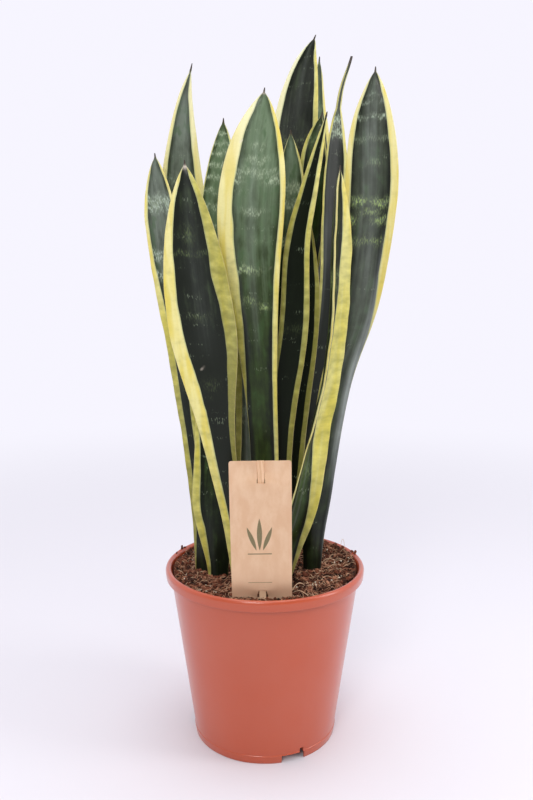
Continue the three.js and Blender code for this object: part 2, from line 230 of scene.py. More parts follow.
# Painted light for the card's shaded foot
CARD_PAINTED_LIGHT = (0.860, 0.590, 0.380)
CARD_FLECK = (0.520, 0.310, 0.180)
INK = (0.130, 0.125, 0.055)
WOOD_PALE = (0.820, 0.540, 0.340)
WOOD_DARK = (0.620, 0.360, 0.190)
# Painted light for the stick's shaded foot
WOOD_PAINTED_LIGHT = (0.960, 0.700, 0.450)

# Stray crumbs on and by the rim: place and size
RIM_CRUMBS = [
    (-93, 42, 185.2, 2.0), (-90, 46, 184.6, 1.4), (99, 26, 185.4, 2.2), (96, 31, 185.0, 1.6),
    (88, 44, 184.8, 1.8), (80, 55, 184.6, 1.7), (-97, 28, 184.8, 1.2),
]
# Long pale fibres: start, end, height of the arch, radius
LONG_FIBRES = [
    ((26, -66), (42, -48), 6.0, 0.48), ((27, -68), (44, -76), 3.5, 0.40),
    ((84, 40), (90, 46), 11.0, 0.26), ((-20, -52), (-46, -58), 2.0, 0.28),
    ((60, 4), (78, 12), 4.0, 0.30), ((66, -8), (84, 2), 3.0, 0.30),
    ((-80, 20), (-66, 30), 3.0, 0.26), ((56, -40), (70, -30), 3.0, 0.26),
    ((90, 20), (82, 34), 5.0, 0.24),
]
# Where white grit lies closer together
GRIT_SPOTS = [(-72, 28), (74, 10), (70, 22), (52, -54), (-60, -52)]

# A plain mark on the card. Its leaves: middle, height, half width and lean. Its two lines: low, high
MARK_BASE = 56.0
MARK_LEAVES = ((-1.5, 34, 5.2, 0.0), (-4.5, 25, 4.6, -9.0), (1.5, 25, 4.6, 9.0))
MARK_LINES = ((52.2, 53.4), (22.0, 22.6))
MARK_LEFT = -13.0
MARK_RIGHT = 10.0

# Floor, room and lamps
STUDIO = (0.930, 0.915, 1.000)
FLOOR_COLOUR = (0.770, 0.755, 0.790)
FLOOR_RADIUS = 6.0
FLOOR_FADE = (0.30, 1.9)
ROOM_FRONT = 0.30
ROOM_BACK = 1.0
# Each lamp: where it stands, what it faces, its width and height, all in metres, and its power
LAMPS = {
    "soft_front": ((-0.5, -2.0, 1.5), (0, 0, 0.35), (0.8, 0.8), 20),
    "soft_right": ((1.5, -0.4, 1.0), (0, 0, 0.5), (0.5, 1.3), 9),
    "soft_top": ((0.0, -0.3, 2.2), (0, 0, 0), (1.6, 1.6), 16),
}

# Each leaf: its form as in the part, then its looks. spine is its middle line and facing how far
# the blade turns round it, in degrees. width is the full width, at the share widest of the length,
# foot the width low down, and root that at the soil. channel is how hollow the face is, as a share
# of the half width, thick its thickness in the middle, and shoulder how full the tip is. point and
# point_width are the length and the width of the fine tip. left and right are the widths of the yellow
# margins, tone how light the green is, cool how grey it is, olive_and_shade how dull the left and the
# right margin are, partly their own dull yellow-green and partly painted shade on the lower and inner
# margins, crown how domed the blade's face looks, each evenly spaced from the soil to the tip.
# margin_reach is the widest that a margin may be, as a share of the half blade. inner marks the
# shaded leaves in the middle, which are duller. painted_sheen are painted grey sheen streaks along
# the blade, standing in for highlights and reflections: place and half width as shares of the half
# blade, start and end as shares of the length, strength. scars are small pale dots: place, share of
# the length, radius. bands are pale cross bands: share of the length, strength, half height, and for
# a short one also its middle and half width, as shares of the half blade.
LEAVES = {}
LEAVES["leaf_01"] = dict(
    spine=[(-63, -6, 172), (-69, -1, 255), (-87, 10, 395), (-104, 22, 540), (-112, 26, 609)],
    width=42, widest=0.82, foot=18, facing=(-20, -30, -30), channel=(0.5, 0.15),
    left=(0.5, 4, 7, 9, 9.5, 8, 5, 4, 1.5), right=(4, 5, 5, 5, 5, 5, 5, 4, 1.5),
    tone=(-0.2, -0.2, 0.05, 0.6, 0.88), cool=(0.2, 0.3, 0.7, 0.95, 0.95),
    olive_and_shade=((0.8, 0.7, 0.55, 0.1, 0), (0.7, 0.6, 0.45, 0.1, 0)),
    painted_sheen=[(-0.2, 0.3, 0.45, 0.9, 0.18)],
    bands=[(0.885, 1.7, 7), (0.765, 1.3, 5), (0.72, 1, 4)],
)
LEAVES["leaf_02"] = dict(
    spine=[
        (-19, -44, 172), (-28, -47, 235), (-43, -50, 317), (-57, -52, 425), (-68, -56, 520),
        (-73, -62, 589),
    ],
    width=66, widest=0.64, foot=24, facing=(0, -8, -12), channel=(0.4, 0.1), thick=5,
    left=(3, 6, 9.5, 11.5, 14.5, 13.3, 11, 6.6, 2), right=(1, 1.5, 2.5, 5, 8.4, 12, 15.5, 9, 2),
    tone=(-0.65, -0.5, -0.4, -0.2, 0), cool=(0.2, 0.4, 0.6, 0.6, 0.4),
    olive_and_shade=((0.6, 0.3, 0.1, 0.1, 0), (0.95, 0.95, 0.85, 0.58, 0.42)),
    painted_sheen=[(0.05, 0.3, 0.6, 0.98, 0.16)],
    scars=[(-0.2, 0.541, 0.7), (-0.1, 0.705, 0.5), (-0.16, 0.547, 0.45), (0, 0.988, 2.5)],
    bands=[
        (0.8, 0.22, 2.5, -0.3, 0.3), (0.8, 0.2, 2.5, 0.3, 0.2), (0.845, 0.15, 8, -0.1, 0.2),
        (0.66, 0.1, 4, -0.1, 0.3), (0.5, 0.06, 8, 0, 0.3),
    ],
)
LEAVES["leaf_03"] = dict(
    spine=[
        (-57, 34, 172), (-72, 42, 308), (-83, 48, 460), (-88, 52, 585), (-84, 53, 662), (-75, 50, 702),
    ],
    width=48, widest=0.76, foot=18, facing=(10, 20, 20), point=7, shoulder=1.1,
    left=(2, 3, 4, 5, 6, 7, 6, 3.5, 2), right=(3, 4, 5, 7, 8, 8.5, 8.1, 6.2, 3),
    tone=(-0.1, 0.1, 0.25, 0.55, 1), cool=(0.5, 0.6, 0.7, 0.9, 1),
    olive_and_shade=((0.6, 0.5, 0.2, -0.3, -0.6), (0.5, 0.5, 0.2, -0.25, -0.7)),
    painted_sheen=[(0.3, 0.3, 0.8, 1, 0.25)],
    bands=[(0.78, 0.3, 6)],
)
LEAVES["leaf_04"] = dict(
    spine=[
        (-48, -20, 172), (-49, -26, 255), (-46, -18, 331), (-45, 4, 461), (-43, 22, 592), (-42, 30, 644),
    ],
    width=47, widest=0.72, foot=48, root=20, facing=(-5, -10, -15), channel=(0.4, 0.1), thick=4.5,
    left=(2, 8, 7, 3, 2, 1.5, 1.5, 1.2, 1), right=(0, 1, 6, 7, 7, 5, 3, 2.5, 1),
    tone=(-0.2, 0, 0.2, 0.55, 0.8), cool=(0.2, 0.3, 0.3, 0.35, 0.4),
    olive_and_shade=((0.5, 0.4, 0.4, 0.2, 0.1), (0.9, 0.9, 0.8, 0.4, 0.2)), inner=True,
    painted_sheen=[(-0.8, 0.03, 0.1, 0.32, 0.7), (-0.4, 0.25, 0, 0.15, 0.15)],
    bands=[
        (0.965, 1.2, 2), (0.945, 1.2, 2), (0.925, 1.2, 2.2), (0.9, 1.2, 2.4), (0.875, 1.1, 2.4),
        (0.845, 0.9, 2.4), (0.81, 0.8, 3), (0.77, 0.6, 3),
    ],
)
LEAVES["leaf_05"] = dict(
    spine=[(1, -20, 172), (0, -25, 301), (-6, -28, 403), (-14, -31, 510), (-9, -36, 600), (0, -40, 657)],
    width=64, widest=0.78, foot=27, facing=(0, 0, 5), channel=(0.4, 0.1), thick=5,
    left=(0, 0, 0, 0.5, 6.5, 14, 15, 12.7, 3), right=(3.5, 3.5, 4, 4.5, 5, 5.5, 5, 5.3, 2),
    tone=(0, 0.1, 0.12, 0.62, 0.95), cool=(0, 0, 0.05, 0.35, 0.5),
    olive_and_shade=((0.9, 0.8, 0.6, -0.1, -0.6), (0.35, 0.35, 0.25, 0, -0.1)),
    painted_sheen=[(0, 0.16, 0.52, 0.88, 0.5), (-0.45, 0.12, 0.5, 0.92, 0.26), (0.45, 0.1, 0.6, 0.9, 0.14)],
    scars=[(0.7, 0.66, 0.5), (0.35, 0.61, 0.6), (-0.6, 0.9, 0.5), (0, 0.992, 1.6)],
    bands=[
        (0.893, 1.1, 3, 0.1, 0.2), (0.867, 1.3, 3, 0.1, 0.3), (0.842, 1, 3.5, 0, 0.7),
        (0.826, 1.5, 3.5, 0.62, 0.2), (0.828, 1.3, 3, -0.4, 0.2), (0.769, 1.4, 3, 0.05, 0.25),
        (0.715, 0.3, 3, 0.3, 0.3), (0.656, 1.5, 3.5, -0.15, 0.35), (0.582, 0.9, 3, 0.45, 0.2),
        (0.595, 0.5, 4, -0.1, 0.3),
    ],
)
# leaf_06's high tone and wide painted sheen low down are painted light on its shaded lower half
LEAVES["leaf_06"] = dict(
    spine=[(-16, 8, 172), (-15, 5, 327), (-15, 11, 461), (-21, 18, 560)],
    width=34, widest=0.55, foot=20, facing=(0, 10, 20), left=(1, 1, 1, 1.2, 1.5, 3, 4, 3, 1),
    right=(1, 1, 1, 1, 1, 2, 2, 2, 1), tone=(1, 1, 0.8, 0.1, 0.1), cool=(0.8,),
    olive_and_shade=((0.7, 0.7, 0.6, 0.4, 0.3), (0.8, 0.8, 0.7, 0.5, 0.4)), inner=True,
    painted_sheen=[(0.1, 0.9, 0.1, 0.75, 0.9), (-0.35, 0.05, 0.2, 0.6, 1.5)],
    bands=[(0.45, 1.6, 6), (0.43, 1.6, 4)],
)
LEAVES["leaf_07"] = dict(
    spine=[(10, 52, 172), (21, 54, 460), (32, 58, 632), (42, 62, 703), (53, 64, 734)],
    width=49, widest=0.79, foot=22, facing=(-5, -10, -15), left=(3, 3, 4, 5, 6, 7, 7.5, 6, 2.5),
    right=(3, 3, 4, 4, 5, 6, 6.6, 5, 2), tone=(-0.3, -0.3, -0.3, -0.25, 0.1),
    cool=(0.5, 0.5, 0.5, 0.7, 1), olive_and_shade=((0.8, 0.7, 0.5, -0.2, -1), (0.8, 0.7, 0.6, 0.35, 0.2)),
    inner=True,
    painted_sheen=[(0, 0.14, 0.88, 0.99, 0.3)],
    bands=[(0.8, 0.12, 6)],
)
LEAVES["leaf_08"] = dict(
    spine=[(31, 70, 172), (50, 78, 460), (56, 84, 600), (55, 88, 664), (59, 92, 720)],
    width=40, widest=0.75, foot=19, facing=(20, 35, 45), left=(2, 2, 2, 2, 2, 2, 2, 2, 1),
    right=(3, 4, 5, 5, 5, 5, 5, 5, 2), tone=(0.1, 0.1, 0.2, 0.3, 0.5), cool=(0.3, 0.3, 0.3, 0.4, 0.4),
    olive_and_shade=((0.8, 0.7, 0.6, 0.3, 0.2), (0.8, 0.7, 0.4, 0.2, 0)),
    bands=[(0.9, 0.3, 6)],
)
LEAVES["leaf_09"] = dict(
    spine=[(21, 31, 172), (37, 34, 429), (49, 36, 564), (52, 36, 622), (59, 35, 651)],
    width=34, widest=0.82, foot=19, facing=(0, -10, -15), left=(4, 5, 6, 6, 6, 6, 7, 5, 2),
    right=(2, 2, 2, 3, 3, 3, 2, 2, 1), tone=(-0.2, -0.2, 0, 0.15, 0.4), cool=(0.2, 0.2, 0.1, 0.1, 0.2),
    olive_and_shade=((0.9, 0.9, 0.8, 0.5, 0.35), (0.9, 0.9, 0.8, 0.6, 0.4)), inner=True,
    bands=[(0.94, 0.3, 4)],
)
LEAVES["leaf_10"] = dict(
    spine=[(16, -6, 172), (18, -6, 329), (29, -5, 436), (32, -4, 516), (44, -2, 573), (61, 0, 644)],
    width=30, widest=0.5, foot=20, facing=(0, 5, 15), left=(2, 2, 2, 3, 4.5, 5, 5.5, 3.6, 1),
    right=(2, 4, 5.5, 5.5, 5.5, 5.5, 5.5, 4.8, 2), tone=(-1, -1, -1, -0.5, 0), cool=(0.6,),
    olive_and_shade=((0.9, 0.9, 0.8, 0.6, 0.3), (0.95, 0.9, 0.7, 0.35, 0.2)), inner=True,
    bands=[(0.55, 0.05, 5)],
)
LEAVES["leaf_11"] = dict(
    spine=[(36, 46, 172), (51, 36, 332), (66, 25, 471), (69, 18, 581), (73, 14, 655), (85, 10, 698)],
    width=32, widest=0.78, foot=18, facing=(0, 25, 40), channel=(0.4, 0.3), point=42, point_width=7,
    left=(3, 3, 4, 4, 4, 4, 3, 2, 1), right=(2, 2, 2, 3, 4, 5, 4.5, 3, 1),
    tone=(-0.6,) * 10 + (-0.35, 0.65, 0.5), cool=(0.7, 0.7, 0.7, 0.92, 1),
    olive_and_shade=((0.9, 0.8, 0.7, 0.45, 0.4), (0.9, 0.8, 0.6, 0.25, 0.1)),
    painted_sheen=[(-0.55, 0.14, 0.5, 0.85, 0.25)],
    bands=[(0.885, 1.2, 5), (0.862, 1.2, 4)],
)
LEAVES["leaf_12"] = dict(
    spine=[
        (16, -34, 172), (26, -35, 215), (38, -36, 257), (49, -38, 335), (59, -40, 385), (65, -43, 455),
        (67, -47, 546), (70, -50, 586),
    ],
    width=36, widest=0.8, foot=28, facing=(-35, 0, 50, 60, 60, 60), channel=(0.8, 0.5), thick=3.5,
    left=(1.5, 2, 2, 2, 2, 2, 2, 1.5, 1), right=(3, 6, 10, 15, 17, 15, 12, 8, 3),
    tone=(0.15, 0.3, 0.3, 0.1, 0.1), cool=(0, 0, 0.2, 0.2, 0.3),
    olive_and_shade=((0.2, 0.2, 0.2, 0.15, 0.1), (0.85, 0.3, 0.36, 0.36, 0.1)), crown=(0.1,), margin_reach=1.5,
    painted_sheen=[(-0.62, 0.05, 0.1, 0.4, 0.55), (-0.25, 0.06, 0.08, 0.36, 0.45)],
    bands=[(0.75, 0.5, 8), (0.5, 0.4, 8), (0.3, 0.15, 8)],
)
# leaf_13's strong painted sheen along its lower right edge stands in for the room's reflection there
LEAVES["leaf_13"] = dict(
    spine=[
        (49, -9, 172), (53, -9, 245), (71, -10, 372), (94, -14, 457), (103, -22, 553), (102, -30, 632),
        (103, -34, 677),
    ],
    width=52, widest=0.8, foot=29, root=19, facing=(10, -5, -20, -25), channel=(0.15, 0.1), thick=5,
    left=(0, 0, 2, 3, 4, 5, 5.5, 5.5, 2.5), right=(0, 0, 0, 0, 0.8, 7, 8, 7, 2),
    tone=(-0.15, 0.1, 0.3, 0.12, 0.58), cool=(0.3, 0.5, 0.8, 0.85, 0.95),
    olive_and_shade=((0.6, 0.5, 0.3, 0, -0.5), (0.5, 0.4, 0.05, 0, -0.1)), crown=(0.6, 0.6, 0.5, 0.2, 0.1),
    painted_sheen=[
        (0.8, 0.26, 0.24, 0.66, 1.9), (0.98, 0.12, 0.05, 0.62, 1.1), (-0.3, 0.2, 0.5, 0.96, 0.42),
        (0.1, 0.25, 0.4, 0.66, 0.45), (0.05, 0.26, 0.6, 0.95, 0.6),
    ],
    bands=[
        (0.952, 0.5, 1.6, 0, 0.4), (0.94, 0.5, 1.4), (0.914, 0.9, 1.8), (0.875, 0.3, 2.5),
        (0.832, 0.4, 2.5, 0.1, 0.3), (0.764, 1, 4, -0.45, 0.3), (0.76, 1, 4, 0.35, 0.4),
        (0.742, 0.6, 3, 0, 0.4), (0.728, 0.9, 4, -0.7, 0.2), (0.73, 0.9, 4, 0.4, 0.3), (0.69, 0.4, 4),
    ],
)
LEAVES["leaf_14"] = dict(
    spine=[(-3, 20, 172), (14, 21, 419), (25, 19, 562), (26, 16, 630)],
    width=36, widest=0.78, foot=20, facing=(0, 10, 15), left=(1, 1, 1, 1, 1, 1, 1, 1, 0.5),
    right=(4, 4, 4, 4, 5, 5, 4.5, 3.5, 1), tone=(-0.3, -0.3, -0.1, 0.45, 1),
    cool=(0.3, 0.3, 0.3, 0.4, 0.6), olive_and_shade=((0.9, 0.9, 0.8, 0.5, 0.4), (0.9, 0.9, 0.7, 0.2, 0.1)),
    inner=True,
    bands=[(0.875, 1.6, 5), (0.84, 1.4, 5), (0.76, 1, 5)],
)
LEAVES["leaf_15"] = dict(
    spine=[(23, 13, 172), (33, 14, 325), (39, 14, 440), (41, 14, 497), (44, 14, 549)],
    width=34, widest=0.7, foot=18, facing=(0, 5, 10), left=(1,), right=(3, 4, 5, 5, 5, 5, 5, 4, 2),
    tone=(-0.3,), cool=(0.5,), olive_and_shade=((0.95, 0.95, 0.9, 0.85, 0.8), (0.95, 0.95, 0.9, 0.8, 0.7)),
    inner=True,
)


# Mesh helpers


def add_object(data):
    thing = bpy.data.objects.new(data.name, data)
    bpy.context.scene.collection.objects.link(thing)
    return thing


def dress(piece, material, node=None):
    """Makes a piece ride on the part's one body, and stand for one of its nodes if it has one."""
    piece.data.materials.clear()
    piece.data.materials.append(material)
    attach(piece, "root")
    if node:
        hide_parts(node)


def mesh_of(name, shape):
    """The mesh of a finished shape, which is freed."""
    mesh = bpy.data.meshes.new(name)
    shape.to_mesh(mesh)
    shape.free()
    return mesh


def mesh_from(name, points_mm, faces):
    """A mesh in metres from points in millimetres, with its faces turned outwards."""
    mesh = bpy.data.meshes.new(name)
    mesh.from_pydata((np.asarray(points_mm) * MM).tolist(), [], [list(face) for face in faces])
    mesh.validate()
    shape = bmesh.new()
    shape.from_mesh(mesh)
    bmesh.ops.recalc_face_normals(shape, faces=shape.faces)
    shape.to_mesh(mesh)
    shape.free()
    return mesh


def cube_shape(matrix):
    """A cube with sides of one, set by the matrix."""
    shape = bmesh.new()
    bmesh.ops.create_cube(shape, size=1)
    bmesh.ops.transform(shape, matrix=matrix, verts=shape.verts)
    return shape


def angles_round(count):
    return [2 * math.pi * index / count for index in range(count)]


def ring_of(radius, height, angles):
    return [(radius * math.cos(angle), radius * math.sin(angle), height) for angle in angles]


def ring_body(name, bottom, rings, top):
    """A closed body from rings of points, with a point on the axis below and above them."""
    sides = len(rings[0])
    points = [(0, 0, bottom)]
    for ring in rings:
        points += ring
    points.append((0, 0, top))
    faces = []
    highest = 1 + (len(rings) - 1) * sides
    for side in range(sides):
        after = (side + 1) % sides
        faces.append((0, 1 + after, 1 + side))
        for a in range(1, highest, sides):
            b = a + sides
            faces.append((a + side, a + after, b + after, b + side))
        faces.append((highest + side, highest + after, len(points) - 1))
    return mesh_from(name, points, faces)


def smooth(mesh, angle=None):
    mesh.polygons.foreach_set("use_smooth", [True] * len(mesh.polygons))
    if angle is not None:
        mesh.set_sharp_from_angle(angle=math.radians(angle))
    mesh.update()


def add_values(mesh, name, values):
    """Numbers or vectors, one for each point of the mesh, which its material reads."""
    flat = np.asarray(values, np.float32).ravel()
    kind, key = ("FLOAT", "value") if len(flat) == len(mesh.vertices) else ("FLOAT_VECTOR", "vector")
    mesh.attributes.new(name, kind, "POINT").data.foreach_set(key, flat)


def smoothstep(low, high, value):
    t = np.clip((value - low) / (high - low), 0, 1)
    return t * t * (3 - 2 * t)


def along(values, share):
    """Value at a share of the way along a list of evenly spaced values."""
    return np.interp(share, np.linspace(0, 1, len(values)), values)


def wobble(value, wavelength, seed):
    """Smooth seeded waves between about -1 and 1."""
    draw = random.Random(seed)
    total = np.zeros_like(value, dtype=float)
    for strength, factor in ((0.5, 1.0), (0.3, 1.9), (0.2, 3.7)):
        total += strength * np.sin(value * 2 * math.pi * factor / wavelength + draw.uniform(0, 6.28))
    return total


# Shader helpers


class Nodes:
    """The nodes of one tree. Each call adds a node and returns its output."""

    def __init__(self, tree):
        self.tree = tree

    def add(self, kind, inputs=(), **settings):
        """A node itself, with its settings, and its inputs by number or name."""
        node = self.tree.nodes.new(kind)
        for key, value in settings.items():
            setattr(node, key, value)
        for key, value in dict(inputs).items():
            self.put(node.inputs[key], value)
        return node

    def put(self, socket, value):
        if isinstance(value, bpy.types.NodeSocket):
            self.tree.links.new(value, socket)
        elif socket.type == "RGBA" and len(value) == 3:
            socket.default_value = (*value, 1)
        else:
            socket.default_value = value

    def math(self, operation, *values):
        return self.add("ShaderNodeMath", enumerate(values), operation=operation).outputs[0]

    def times(self, first, *others):
        for other in others:
            first = self.math("MULTIPLY", first, other)
        return first

    def minus(self, first, second):
        return self.math("SUBTRACT", first, second)

    def sway(self, value, waves, amount):
        """The value, moved up and down by waves that lie between 0 and 1."""
        return self.math("MULTIPLY_ADD", waves, amount, self.minus(value, amount / 2))

    def attribute(self, name, output="Fac"):
        return self.add("ShaderNodeAttribute", attribute_name=name).outputs[output]

    def place(self):
        return self.add("ShaderNodeTexCoord").outputs["Object"]

    def parts(self, vector):
        return self.add("ShaderNodeSeparateXYZ", {0: vector}).outputs

    def noise(self, vector, scale, detail=2.0, roughness=0.5, distortion=0.0):
        """Noise at one scale, or stretched by three."""
        if isinstance(scale, tuple):
            stretch = self.add("ShaderNodeVectorMath", {0: vector, 1: scale}, operation="MULTIPLY")
            vector, scale = stretch.outputs[0], 1.0
        inputs = {"Vector": vector, "Scale": scale, "Detail": detail}
        inputs |= {"Roughness": roughness, "Distortion": distortion}
        return self.add("ShaderNodeTexNoise", inputs).outputs[0]

    def step(self, value, low, high, start=0.0, end=1.0):
        """Smooth step from start to end as value goes from low to high."""
        inputs = {"Value": value, "From Min": low, "From Max": high, "To Min": start, "To Max": end}
        return self.add("ShaderNodeMapRange", inputs, interpolation_type="SMOOTHSTEP").outputs[0]

    def mix(self, share, first, second):
        node = self.add("ShaderNodeMix", {0: share}, data_type="RGBA")
        colours = [socket for socket in node.inputs if socket.type == "RGBA"]
        self.put(colours[0], first)
        self.put(colours[1], second)
        return next(socket for socket in node.outputs if socket.type == "RGBA")

    def tint(self, colour, *layers):
        """The colour, with others laid over it in turn, each by a smooth step of a value."""
        for other, *step in layers:
            colour = self.mix(self.step(*step), colour, other)
        return colour

    def overlap(self, *steps):
        """The product of smooth steps, each with its value and its limits."""
        return self.times(*(self.step(*step) for step in steps))

    def relief(self, *layers):
        """Bumps on top of each other. Each has its height, its distance and its strength."""
        normal = None
        for height, distance, strength in layers:
            inputs = {"Height": height, "Distance": distance * MM, "Strength": strength}
            node = self.add("ShaderNodeBump", inputs)
            if normal is not None:
                self.put(node.inputs["Normal"], normal)
            normal = node.outputs[0]
        return normal


class Shader(Nodes):
    """A material with one surface."""

    def __init__(self, name):
        self.material = bpy.data.materials.new(name)
        self.material.use_nodes = True
        super().__init__(self.material.node_tree)
        self.tree.nodes.clear()
        self.surface = self.add("ShaderNodeBsdfPrincipled")
        self.output = self.add("ShaderNodeOutputMaterial", {"Surface": self.surface.outputs[0]})

    def set(self, **values):
        for name, value in values.items():
            self.put(self.surface.inputs[name.replace("_", " ")], value)
        return self.material


# Leaf material


def leaf_material(name, specular):
    s = Shader(name)
    place = s.attribute("leaf_mm", "Vector")
    names = ("rim", "inside", "edged", "band", "tone", "cool", "olive_and_shade", "painted_sheen")
    rim, inside, edged, band, tone, cool, olive_and_shade, painted_sheen = (s.attribute(key) for key in names)

    fibre = s.noise(place, (1.6, 0.012, 1))
    ribbon = s.noise(place, (0.30, 0.008, 1))
    slow = s.noise(place, (0.04, 0.016, 1))
    patch = s.noise(place, (0.12, 0.05, 1), detail=3, roughness=0.55)
    blots = s.noise(place, (0.16, 0.11, 1))
    dashes = s.noise(place, (0.95, 0.26, 1), detail=1)
    flecks = s.noise(place, (0.9, 0.5, 1))
    rows = s.noise(place, (0.02, 0.11, 1), distortion=0.4)

    # Where the yellow stops: a smooth line with the slightest waver
    waver = s.sway(inside, ribbon, 1.0)
    yellow = s.step(waver, -0.25, 0.25)

    # Green field: soft lengthwise ribbons, a few greener parts, pale dashes in cross bands
    light = tone
    for waves, weight in zip((ribbon, slow, patch, fibre), LIGHT_WEIGHTS):
        light = s.sway(light, waves, weight)
    light = s.minus(light, s.step(inside, -6.0, 0.0, -0.08, 0.34))
    mid_green = s.mix(cool, MID_LUSH, MID_SLATE)
    light_green = s.mix(cool, LIGHT_LUSH, LIGHT_SLATE)
    green = s.tint(DARK_GREEN, (mid_green, light, -0.15, 0.40), (light_green, light, 0.30, 1.15))
    grassy = s.overlap((patch, 0.48, 0.66), (slow, 0.38, 0.60, 0.10, 0.60), (light, 0.05, 0.5, 0.04, 0.9))
    green = s.mix(grassy, green, GRASS_GREEN)
    faint = s.overlap((rows, 0.56, 0.68), (dashes, 0.55, 0.68), (blots, 0.45, 0.60))
    green = s.mix(s.times(faint, FAINT_WEIGHT), green, BAND_GREEN)
    green = s.mix(s.times(band, s.step(blots, 0.35, 0.60, 0.05, 0.30)), green, BAND_GREEN)
    spots = s.overlap((dashes, 0.47, 0.58), (blots, 0.36, 0.52, 0.15, 1.0))
    slate = (BAND_SLATE, cool, 0.84, 0.94, 0.0, 0.8)
    band_colour = s.tint(BAND_YELLOW, (BAND_GREEN, tone, 0.15, 0.65), slate)
    green = s.mix(s.times(s.math("MINIMUM", band, 1.0), spots), green, band_colour)
    # Painted sheen: grey streaks that stand in for highlights and reflections on the blade
    sheen_amount = s.times(painted_sheen, s.math("MULTIPLY_ADD", ribbon, 1.2, 0.1))
    sheen_amount = s.times(sheen_amount, s.math("MULTIPLY_ADD", patch, 0.8, 0.5), SHEEN_WEIGHT)
    green = s.mix(s.math("MINIMUM", sheen_amount, 0.8), green, SHEEN_GREY)

    # Margins: pale to deep yellow along the blade, greyer inwards, dull and mottled lower down, where
    # painted shade also darkens the lower and inner margins
    broad = s.noise(place, (0.11, 0.014, 1))
    cross = s.noise(place, (0.09, 0.12, 1))
    grain = s.noise(place, (0.40, 0.55, 1), detail=1)
    dull = s.math("MULTIPLY_ADD", cross, 0.9, s.minus(olive_and_shade, 0.47))
    cream = s.tint(
        MARGIN_PALE,
        (MARGIN_YELLOW, broad, 0.36, 0.66),
        (MARGIN_LEMON, olive_and_shade, 0.0, 0.5, 0.0, 0.6),
        (MARGIN_LIGHT, olive_and_shade, -1.0, 0.0, 1.0, 0.0),
        (MARGIN_LIGHT, fibre, 0.50, 0.75, 0.0, 0.15),
        (MARGIN_WHITE, waver, 0.1, 1.7, 0.75, 0.0),
        (MARGIN_OLIVE_SHADE, dull, -0.05, 1.05),
    )
    mottle = s.overlap((cross, 0.52, 0.66), (olive_and_shade, 0.3, 0.9, 0.04, 0.30))
    freckle = s.overlap((grain, 0.48, 0.70), (olive_and_shade, 0.1, 0.9, 0.05, 0.26))
    cream = s.mix(freckle, s.mix(mottle, cream, MARGIN_MOTTLE), MARGIN_MOTTLE)

    colour = s.mix(yellow, green, cream)
    line = s.times(s.step(rim, 0.15, 0.60, 1.0, 0.0), edged, RIM_WEIGHT)
    colour = s.mix(line, colour, RIM_LINE)
    colour = s.mix(s.attribute("scars"), colour, SCAR_PALE)
    colour = s.mix(s.attribute("tip"), colour, TIP_BROWN)
    rough = s.math("MULTIPLY_ADD", patch, 0.16, 0.24)
    relief = s.relief(
        (s.attribute("crown"), 1.0, 1.0), (ribbon, 0.5, 0.25), (fibre, 0.12, 0.25), (flecks, 0.06, 0.25)
    )
    return s.set(Base_Color=colour, Roughness=rough, Normal=relief, IOR=1.45, Specular_IOR_Level=specular)


# Leaf meshes


def spine_points(leaf, shares):
    """Points at shares of the leaf's middle line, its length, and its heading at the soil."""
    knots = np.array(leaf["spine"], float)
    padded = np.vstack([2 * knots[0] - knots[1], knots, 2 * knots[-1] - knots[-2]])
    t = np.linspace(0, 1, SPINE_STEPS, endpoint=False)[:, None]
    before, start, end, after = (padded[first:len(knots) - 1 + first, None] for first in range(4))
    leave, arrive = 0.5 * (end - before), 0.5 * (after - start)
    square = 3 * (end - start) - 2 * leave - arrive
    cube = 2 * (start - end) + leave + arrive
    curve = start + leave * t + square * t ** 2 + cube * t ** 3
    line = np.vstack([curve.reshape(-1, 3), knots[-1:]])
    reach = np.concatenate([[0], np.cumsum(np.linalg.norm(np.diff(line, axis=0), axis=1))])
    centres = np.stack([np.interp(shares * reach[-1], reach, line[:, axis]) for axis in range(3)], 1)
    heading = (line[1] - line[0]) / np.linalg.norm(line[1] - line[0])
    return centres, reach[-1], heading


def leaf_width(leaf, share):
    """The blade's width at shares of its length, without its fine point."""
    widest, width, foot = leaf["widest"], leaf["width"], leaf["foot"]
    above = np.clip((share - widest) / (1 - widest), 0, 1)
    below = np.clip(share / widest, 0, 1)
    rise = below ** 5 * (6 - 5 * below)
    root = leaf.get("root", foot)
    low = root + (foot - root) * smoothstep(0, ROOT_SHARE, share)
    full = (1 - above ** leaf.get("shoulder", SHOULDER_POWER)) ** TIP_POWER
    return np.where(share >= widest, width * full, low + (width - low) * rise)


